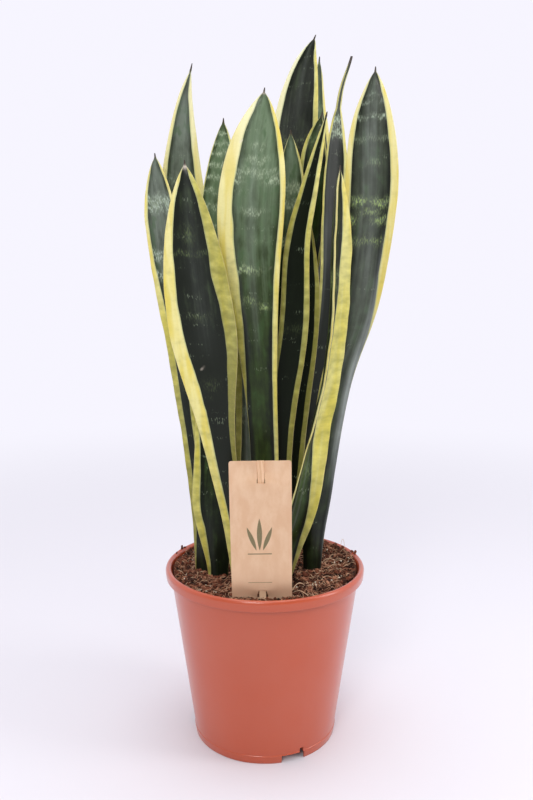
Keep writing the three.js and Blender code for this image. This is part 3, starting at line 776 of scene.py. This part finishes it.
def leaf_looks(leaf, seed, length, share, place, half):
    """Numbers for each point of the blade, which its material reads."""
    along_mm = share * length
    from_left, from_right = half * (1 + place), half * (1 - place)
    fade = smoothstep(1.0, MARGIN_END, share)
    uneven = 1 + MARGIN_UNEVEN * wobble(along_mm, MARGIN_WAVE, seed + 4)
    cap = half * leaf.get("margin_reach", MARGIN_REACH)
    left, right = (
        np.clip(along(leaf[side], share) * uneven * fade, 0.01, cap) for side in ("left", "right")
    )
    # How dull each margin is: partly its own colour, partly painted shade low down and on the inner leaves
    olive_shade_left, olive_shade_right = (along(values, share) for values in leaf["olive_and_shade"])
    edged = smoothstep(0.2, 1.2, np.where(place < 0, left, right)) + 0.7 * smoothstep(0.90, 0.97, share)

    zigzag = 1.4 * np.sin(place * 7 + seed) + 0.8 * np.sin(place * 19 + 2 * seed)
    band = np.zeros_like(place)
    for at, strength, reach, *where in leaf.get("bands", ()):
        middle, half_width = where or WHOLE_BLADE
        up = (along_mm - at * length - zigzag) / reach
        beside = (place - middle) / half_width
        band = np.maximum(band, strength * np.exp(-up ** 2 - beside ** 2))
    # Painted grey sheen streaks, standing in for highlights and reflections
    painted_sheen = np.zeros_like(place)
    for middle, half_width, low, high, strength in leaf.get("painted_sheen", ()):
        start = smoothstep(low - SHEEN_FADE, low + SHEEN_FADE, share)
        end = smoothstep(high + SHEEN_FADE, high - SHEEN_FADE, share)
        painted_sheen += strength * (start * end) * np.exp(-((place - middle) / half_width) ** 2)
    scars = np.zeros_like(place)
    for middle, at, radius in leaf.get("scars", ()):
        off = np.hypot(half * (place - middle), along_mm - at * length) / radius
        scars = np.maximum(scars, np.exp(-off ** 2))

    brown = min(leaf.get("point", POINT_LENGTH), BROWN_TIP)
    both_faces = {
        "rim": np.minimum(from_left, from_right),
        "inside": np.clip(np.maximum(left - from_left, right - from_right), -9, 30),
        "edged": np.minimum(edged, 1.0),
        "olive_and_shade": np.where(place < 0, olive_shade_left, olive_shade_right),
        "crown": along(leaf.get("crown", CROWN), share) * half * (1 - place ** 2),
        "band": band,
        "tone": along(leaf["tone"], share),
        "cool": along(leaf["cool"], share),
        "tip": smoothstep(length - brown - 3, length - brown + 1, along_mm),
    }
    return both_faces, {"painted_sheen": painted_sheen, "scars": scars}


def make_leaf(name, leaf, seed):
    """A closed blade: the part's form, with rounded rims and lightly waved margins."""
    shares = np.concatenate([np.zeros(FOOT_ROWS), np.linspace(0, 1, LEAF_ROWS + 1) ** 0.9])
    share = shares[:, None]
    count = len(shares)
    centres, length, heading = spine_points(leaf, shares)
    depth = FOOT_DEPTH * (1 - np.arange(FOOT_ROWS) / FOOT_ROWS)
    centres[:FOOT_ROWS] -= depth[:, None] * heading

    body_end = 1 - leaf.get("point", POINT_LENGTH) / length
    point_share = np.clip((share - body_end) / (1 - body_end), 0, 1)
    width = leaf_width(leaf, np.clip(share / body_end, 0, 1))
    width = np.maximum(width, leaf.get("point_width", POINT_WIDTH) * (1 - POINT_TAPER * point_share))
    half = width / 2

    facing = np.radians(along(leaf["facing"], shares))
    across = np.stack([np.cos(facing), np.sin(facing), np.zeros(count)], 1)[:, None]
    inward = np.stack([np.sin(facing), -np.cos(facing), np.zeros(count)], 1)[:, None]
    channel = along(leaf.get("channel", CHANNEL), np.sqrt(share))
    slim = np.minimum(1, width / SLIM_WIDTH)
    thick = leaf.get("thick", BLADE_THICKNESS)
    middle = thick + (FOOT_THICKNESS - thick) * np.maximum(0, 1 - 4 * share) ** 2
    rim_share = np.minimum(0.45, 0.7 * EDGE_THICKNESS / np.maximum(half, 1.0))

    inner = np.linspace(-1, 1, INNER_COLUMNS)[None, :] * (1 - rim_share)
    outer = 1 - rim_share + rim_share * np.array(RIM_STEPS)[None, :]
    place = np.concatenate([-outer[:, ::-1], inner, outer], 1)
    into = np.clip((np.abs(place) - (1 - rim_share)) / rim_share, 0, 1)
    rounding = np.sqrt(np.maximum(0.03, 1 - into ** 2))
    body = (1 - place ** 2) * (middle - EDGE_THICKNESS) * slim
    thickness = (body + EDGE_THICKNESS * (0.7 + 0.3 * slim)) * rounding

    along_mm = share * length
    calm = smoothstep(0.03, 0.2, share) * smoothstep(1.0, 0.9, share)
    left_wave, right_wave = (wobble(along_mm, RIM_WAVE, seed + side) for side in (1, 2))
    wave = np.where(place < 0, left_wave, right_wave) * np.abs(place) ** 3 * calm * RIM_WAVE_HEIGHT
    hump = wobble(along_mm, FACE_WAVE, seed + 3) * (1 - place ** 2) * calm * FACE_WAVE_HEIGHT
    bend = channel * half * place ** 2 + wave + hump

    flat = centres[:, None] + across * (half * place)[..., None]
    front, back = (flat + inward * (bend + side * thickness / 2)[..., None] for side in (1, -1))
    ring = np.concatenate([front, back[:, ::-1]], 1)
    around = ring.shape[1]
    start = np.arange(count - 1)[:, None] * around
    turn = np.arange(around)[None, :]
    a, b = start + turn, start + (turn + 1) % around
    quads = np.stack([a, b, b + around, a + around], 2).reshape(-1, 4)
    ends = [list(range(around)), list(range((count - 1) * around, count * around))]
    mesh = mesh_from(name + "_look", ring.reshape(-1, 3), quads.tolist() + ends)
    smooth(mesh, 60)

    spread = np.ones_like(place)
    place_mm = np.stack([half * place, along_mm * spread, seed * 31.0 * spread], 2)
    add_values(mesh, "leaf_mm", np.concatenate([place_mm, place_mm[:, ::-1] + BACK_OFFSET], 1))
    both_faces, front_only = leaf_looks(leaf, seed, length, share, place, half)
    for key, values in both_faces.items():
        values = values * spread
        add_values(mesh, key, np.concatenate([values, values[:, ::-1]], 1))
    for key, values in front_only.items():
        add_values(mesh, key, np.concatenate([values, np.zeros_like(values)], 1))
    return add_object(mesh)


def make_leaves():
    outer = leaf_material("leaf_blade", OUTER_GLOSS)
    inner = leaf_material("leaf_blade_inner", INNER_GLOSS)
    for index, (name, leaf) in enumerate(LEAVES.items()):
        piece = make_leaf(name, leaf, SEED + 10 * index)
        dress(piece, inner if leaf.get("inner") else outer, name)


# Pot


def rounded(points, radius, steps=4):
    """The outline with each corner turned on an arc, as far as its sides allow."""
    result = [points[0]]
    for before, corner, after in zip(points, points[1:], points[2:]):
        corner = Vector(corner)
        back = Vector(before) - corner
        on = Vector(after) - corner
        reach = min(radius, back.length * 0.45, on.length * 0.45)
        start = corner + back.normalized() * reach
        end = corner + on.normalized() * reach
        for index in range(steps + 1):
            t = index / steps
            result.append(tuple(start * (1 - t) ** 2 + corner * 2 * t * (1 - t) + end * t * t))
    result.append(points[-1])
    return result


def wall_radius(height):
    """The outer radius of the tapered wall."""
    lip_bottom = POT_HEIGHT - LIP_HEIGHT
    taper = (NECK_RADIUS - BAND_RADIUS) / (lip_bottom - BAND_HEIGHT)
    return BAND_RADIUS + taper * (height - BAND_HEIGHT)


def pot_outline():
    """The turned outline, from the floor's underside round the wall and lip to the floor's top."""
    lip_bottom = POT_HEIGHT - LIP_HEIGHT
    floor_top = FLOOR_HEIGHT + FLOOR_THICKNESS
    points = [
        (0, FLOOR_HEIGHT),
        (FOOT_RADIUS - WALL, FLOOR_HEIGHT),
        (FOOT_RADIUS - WALL, 0),
        (FOOT_RADIUS, 0),
        (BAND_RADIUS + BAND_STEP, BAND_HEIGHT - 0.6),
        (BAND_RADIUS, BAND_HEIGHT),
        (NECK_RADIUS, lip_bottom),
        (NECK_RADIUS + 0.8, lip_bottom + 6),
        (LIP_RADIUS - WALL - 1.2, POT_HEIGHT - 3.2),
        (LIP_RADIUS - WALL, POT_HEIGHT - 4.6),
        (LIP_RADIUS - WALL - 0.6, lip_bottom),
        (LIP_RADIUS - 0.8, lip_bottom),
        (LIP_RADIUS, POT_HEIGHT - 3.4),
        (LIP_RADIUS - 0.9, POT_HEIGHT - 1),
        (LIP_RADIUS - 2.4, POT_HEIGHT),
        (LIP_RADIUS - 3.4, POT_HEIGHT - 0.1),
        (LIP_INNER_RADIUS + 1.0, POT_HEIGHT - 1.2),
        (LIP_INNER_RADIUS, POT_HEIGHT - 3.2),
        (NECK_RADIUS - WALL, lip_bottom),
        (wall_radius(floor_top) - WALL, floor_top),
        (0, floor_top),
    ]
    return rounded(points, CORNER_RADIUS)


def cut(piece, cutters):
    """Takes the cutters' shapes out of the piece."""
    for cutter in cutters:
        modifier = piece.modifiers.new("cut", "BOOLEAN")
        modifier.operation = "DIFFERENCE"
        modifier.solver = "EXACT"
        modifier.object = cutter
    depsgraph = bpy.context.evaluated_depsgraph_get()
    mesh = bpy.data.meshes.new_from_object(piece.evaluated_get(depsgraph))
    piece.modifiers.clear()
    piece.data = mesh
    for cutter in cutters:
        bpy.data.objects.remove(cutter)


def pot_cutters():
    """The foot's notches, a drain slot beside each, and the floor's round holes."""
    shapes = []
    for index in range(NOTCH_COUNT):
        turn = Matrix.Rotation(math.radians(NOTCH_FIRST_ANGLE + index * 360 / NOTCH_COUNT), 4, "Z")
        drain_height = NOTCH_HEIGHT + DRAIN_HEIGHT / 2 - 0.5
        for size, place in (
            ((NOTCH_WIDTH, NOTCH_DEPTH, 2 * NOTCH_HEIGHT), (0, -FOOT_RADIUS, 0)),
            ((DRAIN_WIDTH, DRAIN_DEPTH, DRAIN_HEIGHT), (DRAIN_SIDE, 2 - FOOT_RADIUS, drain_height)),
        ):
            at = Matrix.Translation(Vector(place) * MM)
            shapes.append(cube_shape(turn @ at @ Matrix.Diagonal((*(side * MM for side in size), 1))))
    for angle in angles_round(FLOOR_HOLES):
        place = Vector((math.cos(angle), math.sin(angle), 0)) * FLOOR_HOLE_CIRCLE
        place.z = FLOOR_HEIGHT
        shape = bmesh.new()
        radius = FLOOR_HOLE_RADIUS * MM
        bmesh.ops.create_cone(
            shape, cap_ends=True, segments=FLOOR_HOLE_SIDES, depth=FLOOR_HOLE_DEPTH * MM,
            radius1=radius, radius2=radius,
        )
        bmesh.ops.translate(shape, verts=shape.verts, vec=place * MM)
        shapes.append(shape)
    return [add_object(mesh_of("cutter", shape)) for shape in shapes]


def pot_material():
    s = Shader("pot_plastic_look")
    place = s.place()
    cloud = s.noise(place, 14, detail=4)
    grain = s.noise(place, 900)
    rings = s.noise(place, (2, 2, 260))
    scuff = s.noise(place, (60, 60, 160), detail=4, roughness=0.65)
    dusty = (POT_DUST, cloud, 0.25, 0.8, 0.0, 0.08)
    scuffed = (POT_DUST, scuff, 0.66, 0.85, 0.0, 0.12)
    rough = s.math("MULTIPLY_ADD", grain, 0.04, 0.28)
    relief = s.relief((rings, 0.06, 0.2), (grain, 0.04, 0.2))
    s.set(Coat_Weight=0.5, Coat_Roughness=0.16, IOR=1.49)
    return s.set(Base_Color=s.tint(POT_RED, dusty, scuffed), Roughness=rough, Normal=relief)


def make_pot():
    outline = pot_outline()
    rings = [ring_of(radius, height, angles_round(POT_SIDES)) for radius, height in outline[1:-1]]
    piece = add_object(ring_body("pot_look", outline[0][1], rings, outline[-1][1]))
    cut(piece, pot_cutters())
    smooth(piece.data, 40)
    dress(piece, pot_material(), "pot")


# Soil


def soil_top(x, y):
    """The soil's even top, as in the part: heaped, tilted and slightly waved."""
    reach = math.hypot(x, y) / SOIL_RADIUS
    top = SOIL_HEIGHT + SOIL_HEAP * (1 - reach * reach)
    top += (SOIL_RISE_RIGHT * x + SOIL_RISE_BACK * y) / SOIL_RADIUS
    for height, right, back, start in SOIL_WAVES:
        top += height * math.sin(x * right + y * back + start)
    return top


def layer(x, y, scale, seed, height):
    return noise.noise(Vector((x * scale, y * scale, seed))) * height


def ground(x, y):
    """The soil's top with loose lumps, and a bank against the wall at the sides and the back."""
    loose = layer(x, y, *SOIL_LUMPS) + layer(x, y, *SOIL_CRUMBS) - abs(layer(x, y, *SOIL_GRIT))
    bank = SOIL_BANK * float(smoothstep(*BANK_REACH, math.hypot(x, y)))
    return soil_top(x, y) + (loose + bank * float(smoothstep(*BANK_SIDES, y)))


def make_soil_bed():
    floor = FLOOR_HEIGHT + FLOOR_THICKNESS + 0.3
    angles = angles_round(SOIL_SIDES)
    edge = wall_radius(SOIL_SHOULDER) - WALL - SOIL_GAP
    rings = [
        ring_of(wall_radius(floor) - WALL - SOIL_GAP, floor, angles), ring_of(edge, SOIL_SHOULDER, angles),
    ]
    for ring in range(SOIL_RINGS):
        flat = ring_of(edge * (1 - ring / SOIL_RINGS) ** 0.85, 0, angles)
        rings.append([(x, y, ground(x, y)) for x, y, z in flat])
    mesh = ring_body("soil_bed", floor, rings, soil_top(0, 0))
    smooth(mesh)
    dress(add_object(mesh), soil_material(), "soil")


def soil_material():
    s = Shader("potting_mix_bed")
    place = s.place()
    coarse = s.noise(place, 160, detail=5, roughness=0.7)
    fine = s.noise(place, 700, detail=4, roughness=0.7)
    fibre = s.noise(place, (900, 180, 500), detail=3, roughness=0.6, distortion=1.5)
    colour = s.tint(
        SOIL_BLACK,
        (SOIL_MID, coarse, 0.42, 0.62),
        (SOIL_LIGHT, fine, 0.54, 0.78, 0.0, 0.5),
        (SOIL_LIGHT, fibre, 0.62, 0.76, 0.0, 0.4),
    )
    relief = s.relief((coarse, 2.0, 0.8), (fine, 0.7, 0.9))
    return s.set(Base_Color=colour, Roughness=0.95, Normal=relief, Specular_IOR_Level=0.2)


def grain_material(name, dark, mid, light):
    """Crumbs and fibres: each has its own tint, from dark to light."""
    s = Shader(name)
    fine = s.noise(s.place(), 900, detail=4, roughness=0.7)
    value = s.sway(s.attribute("tint"), fine, 0.5)
    colour = s.tint(dark, (mid, value, 0.0, 0.5), (light, value, 0.5, 1.0))
    relief = s.relief((fine, 0.5, 0.7))
    return s.set(Base_Color=colour, Roughness=0.9, Normal=relief, Specular_IOR_Level=0.25)


def scatter_place(draw, spread=1.0):
    """A random place on the soil, in millimetres."""
    radius = math.sqrt(draw.random()) * SCATTER_RADIUS * spread
    angle = draw.uniform(0, 2 * math.pi)
    x, y = radius * math.cos(angle), radius * math.sin(angle)
    return x, y, ground(x, y)


def crumb_shapes(draw, count):
    """Irregular lumps of radius about one, as point and face arrays."""
    shapes = []
    for index in range(count):
        shape = bmesh.new()
        bmesh.ops.create_icosphere(shape, subdivisions=2, radius=1)
        offset = Vector((index * 7.3, draw.uniform(0, 50), draw.uniform(0, 50)))
        for vertex in shape.verts:
            swell = 1 + 0.55 * noise.noise(vertex.co * 1.3 + offset)
            swell += 0.25 * noise.noise(vertex.co * 3.1 + offset)
            vertex.co *= swell
        points = np.array([vertex.co[:] for vertex in shape.verts])
        faces = np.array([[vertex.index for vertex in face.verts] for face in shape.faces])
        shape.free()
        shapes.append((points, faces))
    return shapes


def random_turn(draw):
    axis = Vector((draw.gauss(0, 1), draw.gauss(0, 1), draw.gauss(0, 1))).normalized()
    return np.array(Matrix.Rotation(draw.uniform(0, 6.28), 3, axis))


def join_lumps(name, lumps, material):
    """One piece from many small closed shapes, each with its own tint."""
    points, faces, tints, base = [], [], [], 0
    for corners, sides, tint in lumps:
        points.append(corners)
        faces.append(sides + base)
        tints += [tint] * len(corners)
        base += len(corners)
    mesh = mesh_from(name, np.vstack(points), np.vstack(faces))
    smooth(mesh, 50)
    add_values(mesh, "tint", tints)
    dress(add_object(mesh), material)


def drawn(draw, ranges):
    return [draw.uniform(*limits) for limits in ranges]


def lump(draw, shapes, place, size, stretch, tint):
    """One crumb, stretched, turned at random and set in its place."""
    points, faces = draw.choice(shapes)
    points = points * np.array(stretch) * size
    return points @ random_turn(draw).T + np.array(place), faces, tint


def strand(path, radius, tint):
    """A thin three-sided fibre along a path, tapered at both ends."""
    path = np.asarray(path, float)
    heading = np.gradient(path, axis=0)
    heading /= np.linalg.norm(heading, axis=1)[:, None]
    side = np.cross(heading, (0.31, 0.17, 0.94))
    side /= np.linalg.norm(side, axis=1)[:, None]
    other = np.cross(heading, side)
    count = len(path)
    taper = radius * np.sqrt(np.clip(np.sin(np.linspace(0.12, math.pi - 0.12, count)), 0.05, 1))
    rings = []
    for turn in (0, 2.094, 4.189):
        offset = side * math.cos(turn) + other * math.sin(turn)
        rings.append(path + offset * taper[:, None])
    points = np.stack(rings, 1).reshape(-1, 3)
    faces = []
    for row in range(count - 1):
        for column in range(3):
            a, b = row * 3 + column, row * 3 + (column + 1) % 3
            faces += [(a, b, b + 3), (a, b + 3, a + 3)]
    end = (count - 1) * 3
    faces += [(0, 2, 1), (end, end + 1, end + 2)]
    return points, np.array(faces), tint


def fibre_path(draw, start, length):
    """A loosely curved path that lies on the soil."""
    angle = draw.uniform(0, 2 * math.pi)
    bend = draw.uniform(-1.6, 1.6)
    rise = draw.uniform(0.1, FIBRE_LIFT)
    x, y = start
    path = []
    for index in range(FIBRE_POINTS):
        share = index / (FIBRE_POINTS - 1)
        path.append((x, y, ground(x, y) + 0.2 + rise * math.sin(math.pi * share)))
        heading = angle + bend * share
        x += math.cos(heading) * length / FIBRE_POINTS
        y += math.sin(heading) * length / FIBRE_POINTS
        reach = math.hypot(x, y)
        if reach > FIBRE_LIMIT:
            x, y = x * FIBRE_LIMIT / reach, y * FIBRE_LIMIT / reach
    return path


def arched_path(start, end, lift):
    """A long fibre that stands off the soil between its two ends."""
    low, high = ground(*start), ground(*end)
    path = []
    for index in range(ARCH_POINTS):
        share = index / (ARCH_POINTS - 1)
        x = start[0] + (end[0] - start[0]) * share
        y = start[1] + (end[1] - start[1]) * share + 1.5 * math.sin(5 * share)
        path.append((x, y, low + (high - low) * share + 0.6 + lift * math.sin(math.pi * share)))
    return path


def foot_litter(draw, shapes, leaf):
    """Crumbs heaped against a leaf's foot, most of them in front of it."""
    base_x, base_y = leaf["spine"][0][:2]
    facing = math.radians(leaf["facing"][0])
    half = leaf.get("root", leaf["foot"]) / 2
    lumps = []
    for index in range(LITTER_COUNT):
        place = draw.uniform(-1.2, 1.2)
        size = draw.uniform(0.8, 2.1)
        bulge = FOOT_THICKNESS / 2 * math.sqrt(max(0.0, 1 - place * place))
        off = (bulge + size * 0.8 + draw.uniform(0, 4)) * draw.choice((1, 1, 1, -1))
        x = base_x + math.cos(facing) * half * place + math.sin(facing) * off
        y = base_y + math.sin(facing) * half * place - math.cos(facing) * off
        z = ground(x, y) + draw.uniform(0, 2.6) / (1 + abs(off) / 4)
        stretch = drawn(draw, LITTER_STRETCH)
        lumps.append(lump(draw, shapes, (x, y, z), size, stretch, draw.random() ** 1.6))
    return lumps


def make_soil():
    draw = random.Random(SEED)
    make_soil_bed()
    shapes = crumb_shapes(draw, CRUMB_KINDS)
    lumps = []
    for index in range(CRUMB_COUNT):
        x, y, z = scatter_place(draw)
        size = draw.choice(CRUMB_SIZES)
        stretch = drawn(draw, CRUMB_STRETCH)
        lumps.append(lump(draw, shapes, (x, y, z + size * 0.2), size, stretch, draw.random() ** 1.5))
    for leaf in LEAVES.values():
        lumps += foot_litter(draw, shapes, leaf)
    for *place, size in RIM_CRUMBS:
        lumps.append(lump(draw, shapes, place, size, RIM_CRUMB_STRETCH, 0.35))
    join_lumps("soil_crumbs", lumps, grain_material("potting_mix_crumb", SOIL_DARK, SOIL_MID, SOIL_LIGHT))

    strands = []
    for index in range(FIBRE_COUNT):
        x, y, z = scatter_place(draw, 0.98)
        path = fibre_path(draw, (x, y), draw.uniform(*FIBRE_LENGTH))
        strands.append(strand(path, draw.uniform(*FIBRE_RADIUS), draw.random() ** 1.3))
    for start, end, lift, radius in LONG_FIBRES:
        strands.append(strand(arched_path(start, end, lift), radius, 0.95))
    join_lumps("soil_fibres", strands, grain_material("potting_mix_fibre", SOIL_DARK, SOIL_LIGHT, STRAW))

    specks = []
    for index in range(GRIT_COUNT):
        x, y, z = scatter_place(draw, 0.97)
        if index % 3 == 0:
            middle_x, middle_y = draw.choice(GRIT_SPOTS)
            x, y = draw.gauss(middle_x, GRIT_SPREAD), draw.gauss(middle_y, GRIT_SPREAD)
            z = ground(x, y)
        size = draw.uniform(0.4, 1.1)
        specks.append(lump(draw, shapes, (x, y, z + 0.7), size, GRIT_STRETCH, draw.uniform(0.3, 1)))
    join_lumps("soil_grit", specks, grain_material("potting_mix_grit", STRAW, PERLITE, PERLITE))


# Tag


def card_depth(height, side):
    """The card lies behind the stick at both ends and in front of it between the slots."""
    reach = (STICK_THICKNESS + CARD_THICKNESS) / 2 + TAG_GAP
    bend = SLOT_BEND + SLOT_EASE * float(smoothstep(SLOT_WIDTH / 2, 20, abs(side - STICK_SIDE)))
    lower = smoothstep(LOWER_SLOT - bend, LOWER_SLOT + bend, height)
    upper = smoothstep(UPPER_SLOT - bend, UPPER_SLOT + bend, height)
    return reach * (1 - 2 * lower + 2 * upper)


def slot_gap(height):
    """The room beside the stick: little at the upper slot's top, wider down the lower slot."""
    reach = SLOT_HEIGHT / 2 + 0.1
    if UPPER_SLOT - 1.5 < height < UPPER_SLOT + reach:
        return SNUG_GAP
    if abs(height - LOWER_SLOT) < reach:
        down = (LOWER_SLOT + SLOT_HEIGHT / 2 - height) / SLOT_HEIGHT
        return SNUG_GAP + TORN_GAP * min(1.0, 1.6 * down)
    return (SLOT_WIDTH - STICK_WIDTH) / 2


def tag_place():
    """Where the card and the stick stand, leaned to the front and rolled a little."""
    place = Matrix.Translation(Vector(CARD_BASE) * MM)
    place = place @ Matrix.Rotation(math.radians(-CARD_ROLL), 4, "Y")
    return place @ Matrix.Rotation(math.radians(CARD_LEAN), 4, "X")


def vesica(s, x, z, centre_x, height, width, lean):
    """A plain leaf shape in the card's plane: 1 inside, 0 outside."""
    up = s.math("DIVIDE", s.minus(z, MARK_BASE), height)
    middle = s.math("MULTIPLY_ADD", up, lean, centre_x)
    side = s.math("ABSOLUTE", s.minus(x, middle))
    swell = s.times(up, s.minus(1.0, up))
    limit = s.times(s.math("MAXIMUM", swell, 0.0), 2 * width)
    return s.step(s.minus(limit, side), 0.0, 0.25)


def between(s, value, low, high, blur):
    return s.overlap((value, low, low + blur), (value, high - blur, high, 1.0, 0.0))


def card_material():
    s = Shader("kraft_card_look")
    place = s.attribute("card_mm", "Vector")
    x, front, z = s.parts(place)
    pulp = s.noise(place, (0.10, 1, 0.05), detail=4, roughness=0.55)
    fleck = s.noise(place, (0.9, 1, 0.5), detail=3, roughness=0.6)
    fine = s.noise(place, 3.0, detail=3)
    colour = s.tint(
        CARD_KRAFT,
        (CARD_PALE, pulp, 0.35, 0.68),
        # Painted light: the card is lighter towards its foot, where shade falls
        (CARD_PAINTED_LIGHT, z, -5, 70, 0.8, 0.0),
        (CARD_FLECK, fleck, 0.60, 0.76, 0.0, 0.30),
    )
    mark = 0.0
    for leaf in MARK_LEAVES:
        mark = s.math("MAXIMUM", mark, vesica(s, x, z, *leaf))
    for low, high in MARK_LINES:
        line = s.times(between(s, x, MARK_LEFT, MARK_RIGHT, 0.2), between(s, z, low, high, 0.15))
        mark = s.math("MAXIMUM", mark, line)
    mark = s.times(mark, s.step(front, 0.4, 0.6), s.step(fine, 0.25, 0.55, 0.62, 0.92))
    colour = s.mix(mark, colour, INK)
    relief = s.relief((fine, 0.08, 0.5), (pulp, 0.2, 0.25))
    return s.set(Base_Color=colour, Roughness=0.82, Normal=relief)


def card_lines():
    """The places of the card's columns and rows, with the slots' edges among them."""
    edge = CARD_WIDTH / 2
    across, up = [], list(np.linspace(-CARD_DEPTH, CARD_TOP - CARD_CORNER, 76))
    for low, high, count in ((-edge, LEFT_SLOT, 12), (LEFT_SLOT, RIGHT_SLOT, 5), (RIGHT_SLOT, edge, 12)):
        across += list(np.linspace(low, high, count))
    up += [side for slot in SLOTS for side in slot]
    up += [CARD_TOP - CARD_CORNER * (1 - math.sin(math.radians(a))) for a in range(15, 91, 15)]
    return [sorted({round(float(value), 4) for value in values}) for values in (across, up)]


def make_card():
    """A thin sheet with two slots, woven round the stick."""
    columns, rows = card_lines()
    front, card_mm = [], []
    for height in rows:
        drop = max(0.0, height - (CARD_TOP - CARD_CORNER))
        inset = CARD_CORNER - math.sqrt(max(0.0, CARD_CORNER ** 2 - drop ** 2))
        share = (CARD_WIDTH / 2 - inset) / (CARD_WIDTH / 2)
        for x in columns:
            off = abs(x - STICK_SIDE) - SLOT_WIDTH / 2
            side = x if off < 0.01 else x * share
            if abs(off) < 0.01:
                side = STICK_SIDE + math.copysign(STICK_WIDTH / 2 + slot_gap(height), x - STICK_SIDE)
            front.append((side, float(card_depth(height, x)) - CARD_THICKNESS / 2, height))
            card_mm.append((side, 1.0, height))
    count = len(front)
    back = [(x, y + CARD_THICKNESS, z) for x, y, z in front]
    wide = len(columns)
    faces, edges = [], {}
    for row in range(len(rows) - 1):
        middle = (rows[row] + rows[row + 1]) / 2
        for column in range(wide - 1):
            centre = (columns[column] + columns[column + 1]) / 2
            if LEFT_SLOT < centre < RIGHT_SLOT and any(low < middle < high for low, high in SLOTS):
                continue
            a = row * wide + column
            quad = (a, a + 1, a + wide + 1, a + wide)
            faces += [quad, tuple(index + count for index in reversed(quad))]
            for first, second in zip(quad, quad[1:] + quad[:1]):
                key = frozenset((first, second))
                edges[key] = None if key in edges else (first, second)
    for first, second in filter(None, edges.values()):
        faces.append((second, first, first + count, second + count))
    mesh = mesh_from("tag_card_look", front + back, faces)
    smooth(mesh, 35)
    add_values(mesh, "card_mm", card_mm + [(x, 0.0, z) for x, y, z in card_mm])
    mesh.transform(tag_place())
    dress(add_object(mesh), card_material(), "tag_card")


def wood_material():
    s = Shader("stick_wood_look")
    place = s.attribute("wood_mm", "Vector")
    grain = s.noise(place, (1.6, 1.6, 0.05), detail=4, roughness=0.6)
    fine = s.noise(place, (7, 7, 0.15))
    colour = s.tint(
        WOOD_PALE,
        (WOOD_DARK, grain, 0.38, 0.66),
        (WOOD_DARK, fine, 0.55, 0.75, 0.0, 0.3),
        # Painted light: the stick is lighter towards its foot, which the lip shades
        (WOOD_PAINTED_LIGHT, s.parts(place)[2], 8, 40, 0.85, 0.0),
    )
    return s.set(Base_Color=colour, Roughness=0.7, Normal=s.relief((fine, 0.1, 0.5)))


def make_stick():
    length = STICK_TOP + STICK_DEPTH
    place = Matrix.Translation((STICK_SIDE, 0, STICK_TOP - length / 2))
    shape = cube_shape(place @ Matrix.Diagonal((STICK_WIDTH, STICK_THICKNESS, length, 1)))
    bmesh.ops.bevel(
        shape, geom=shape.edges[:], offset=STICK_EDGE, segments=3, profile=0.5, affect="EDGES",
    )
    mesh = mesh_of("tag_stick_look", shape)
    smooth(mesh, 40)
    add_values(mesh, "wood_mm", [vertex.co[:] for vertex in mesh.vertices])
    mesh.transform(Matrix.Scale(MM, 4))
    mesh.transform(tag_place())
    dress(add_object(mesh), wood_material(), "tag_stick")


# Camera, floor and light


def make_camera():
    data = bpy.data.cameras.new("camera")
    data.lens = CAMERA_LENS
    data.sensor_width = SENSOR
    camera = add_object(data)
    camera.location = Vector(CAMERA_PLACE) * MM
    camera.rotation_euler = (math.radians(90 - CAMERA_PITCH), 0, 0)
    bpy.context.scene.camera = camera


def make_floor():
    """A plain pale sheet whose far part fades into the backdrop's own brightness."""
    shape = bmesh.new()
    bmesh.ops.create_circle(shape, cap_ends=True, segments=96, radius=FLOOR_RADIUS)
    floor = add_object(mesh_of("floor", shape))
    s = Shader("studio_floor")
    s.set(Base_Color=FLOOR_COLOUR, Roughness=0.7, Specular_IOR_Level=0.2)
    glow = s.add("ShaderNodeEmission", {"Color": STUDIO})
    length = s.add("ShaderNodeVectorMath", {0: s.place()}, operation="LENGTH").outputs["Value"]
    layers = (s.step(length, *FLOOR_FADE), s.surface.outputs[0], glow.outputs[0])
    blend = s.add("ShaderNodeMixShader", enumerate(layers))
    s.put(s.output.inputs["Surface"], blend.outputs[0])
    floor.data.materials.append(s.material)


def make_lamps():
    for name, (place, target, size, power) in LAMPS.items():
        data = bpy.data.lights.new(name, "AREA")
        data.shape = "RECTANGLE"
        data.size, data.size_y = size
        data.energy = power
        lamp = add_object(data)
        lamp.location = place
        lamp.rotation_euler = (Vector(target) - Vector(place)).to_track_quat("-Z", "Y").to_euler()


def make_world():
    """A pale room, brighter behind and beside the plant than on the camera's side."""
    world = bpy.data.worlds.new("studio")
    world.use_nodes = True
    s = Nodes(world.node_tree)
    direction = s.parts(s.add("ShaderNodeTexCoord").outputs["Generated"])
    backness = s.step(direction["Y"], -0.9, 0.3, ROOM_FRONT, ROOM_BACK)
    camera_ray = s.add("ShaderNodeLightPath").outputs["Is Camera Ray"]
    inputs = {"Factor": camera_ray, "A": backness, "B": 1.0}
    strength = s.add("ShaderNodeMix", inputs, data_type="FLOAT").outputs["Result"]
    background = world.node_tree.nodes["Background"]
    s.put(background.inputs["Color"], STUDIO)
    s.put(background.inputs["Strength"], strength)
    bpy.context.scene.world = world


make_camera()
make_pot()
make_soil()
make_leaves()
make_card()
make_stick()
make_floor()
make_world()
make_lamps()
bpy.context.scene.view_settings.view_transform = "Standard"
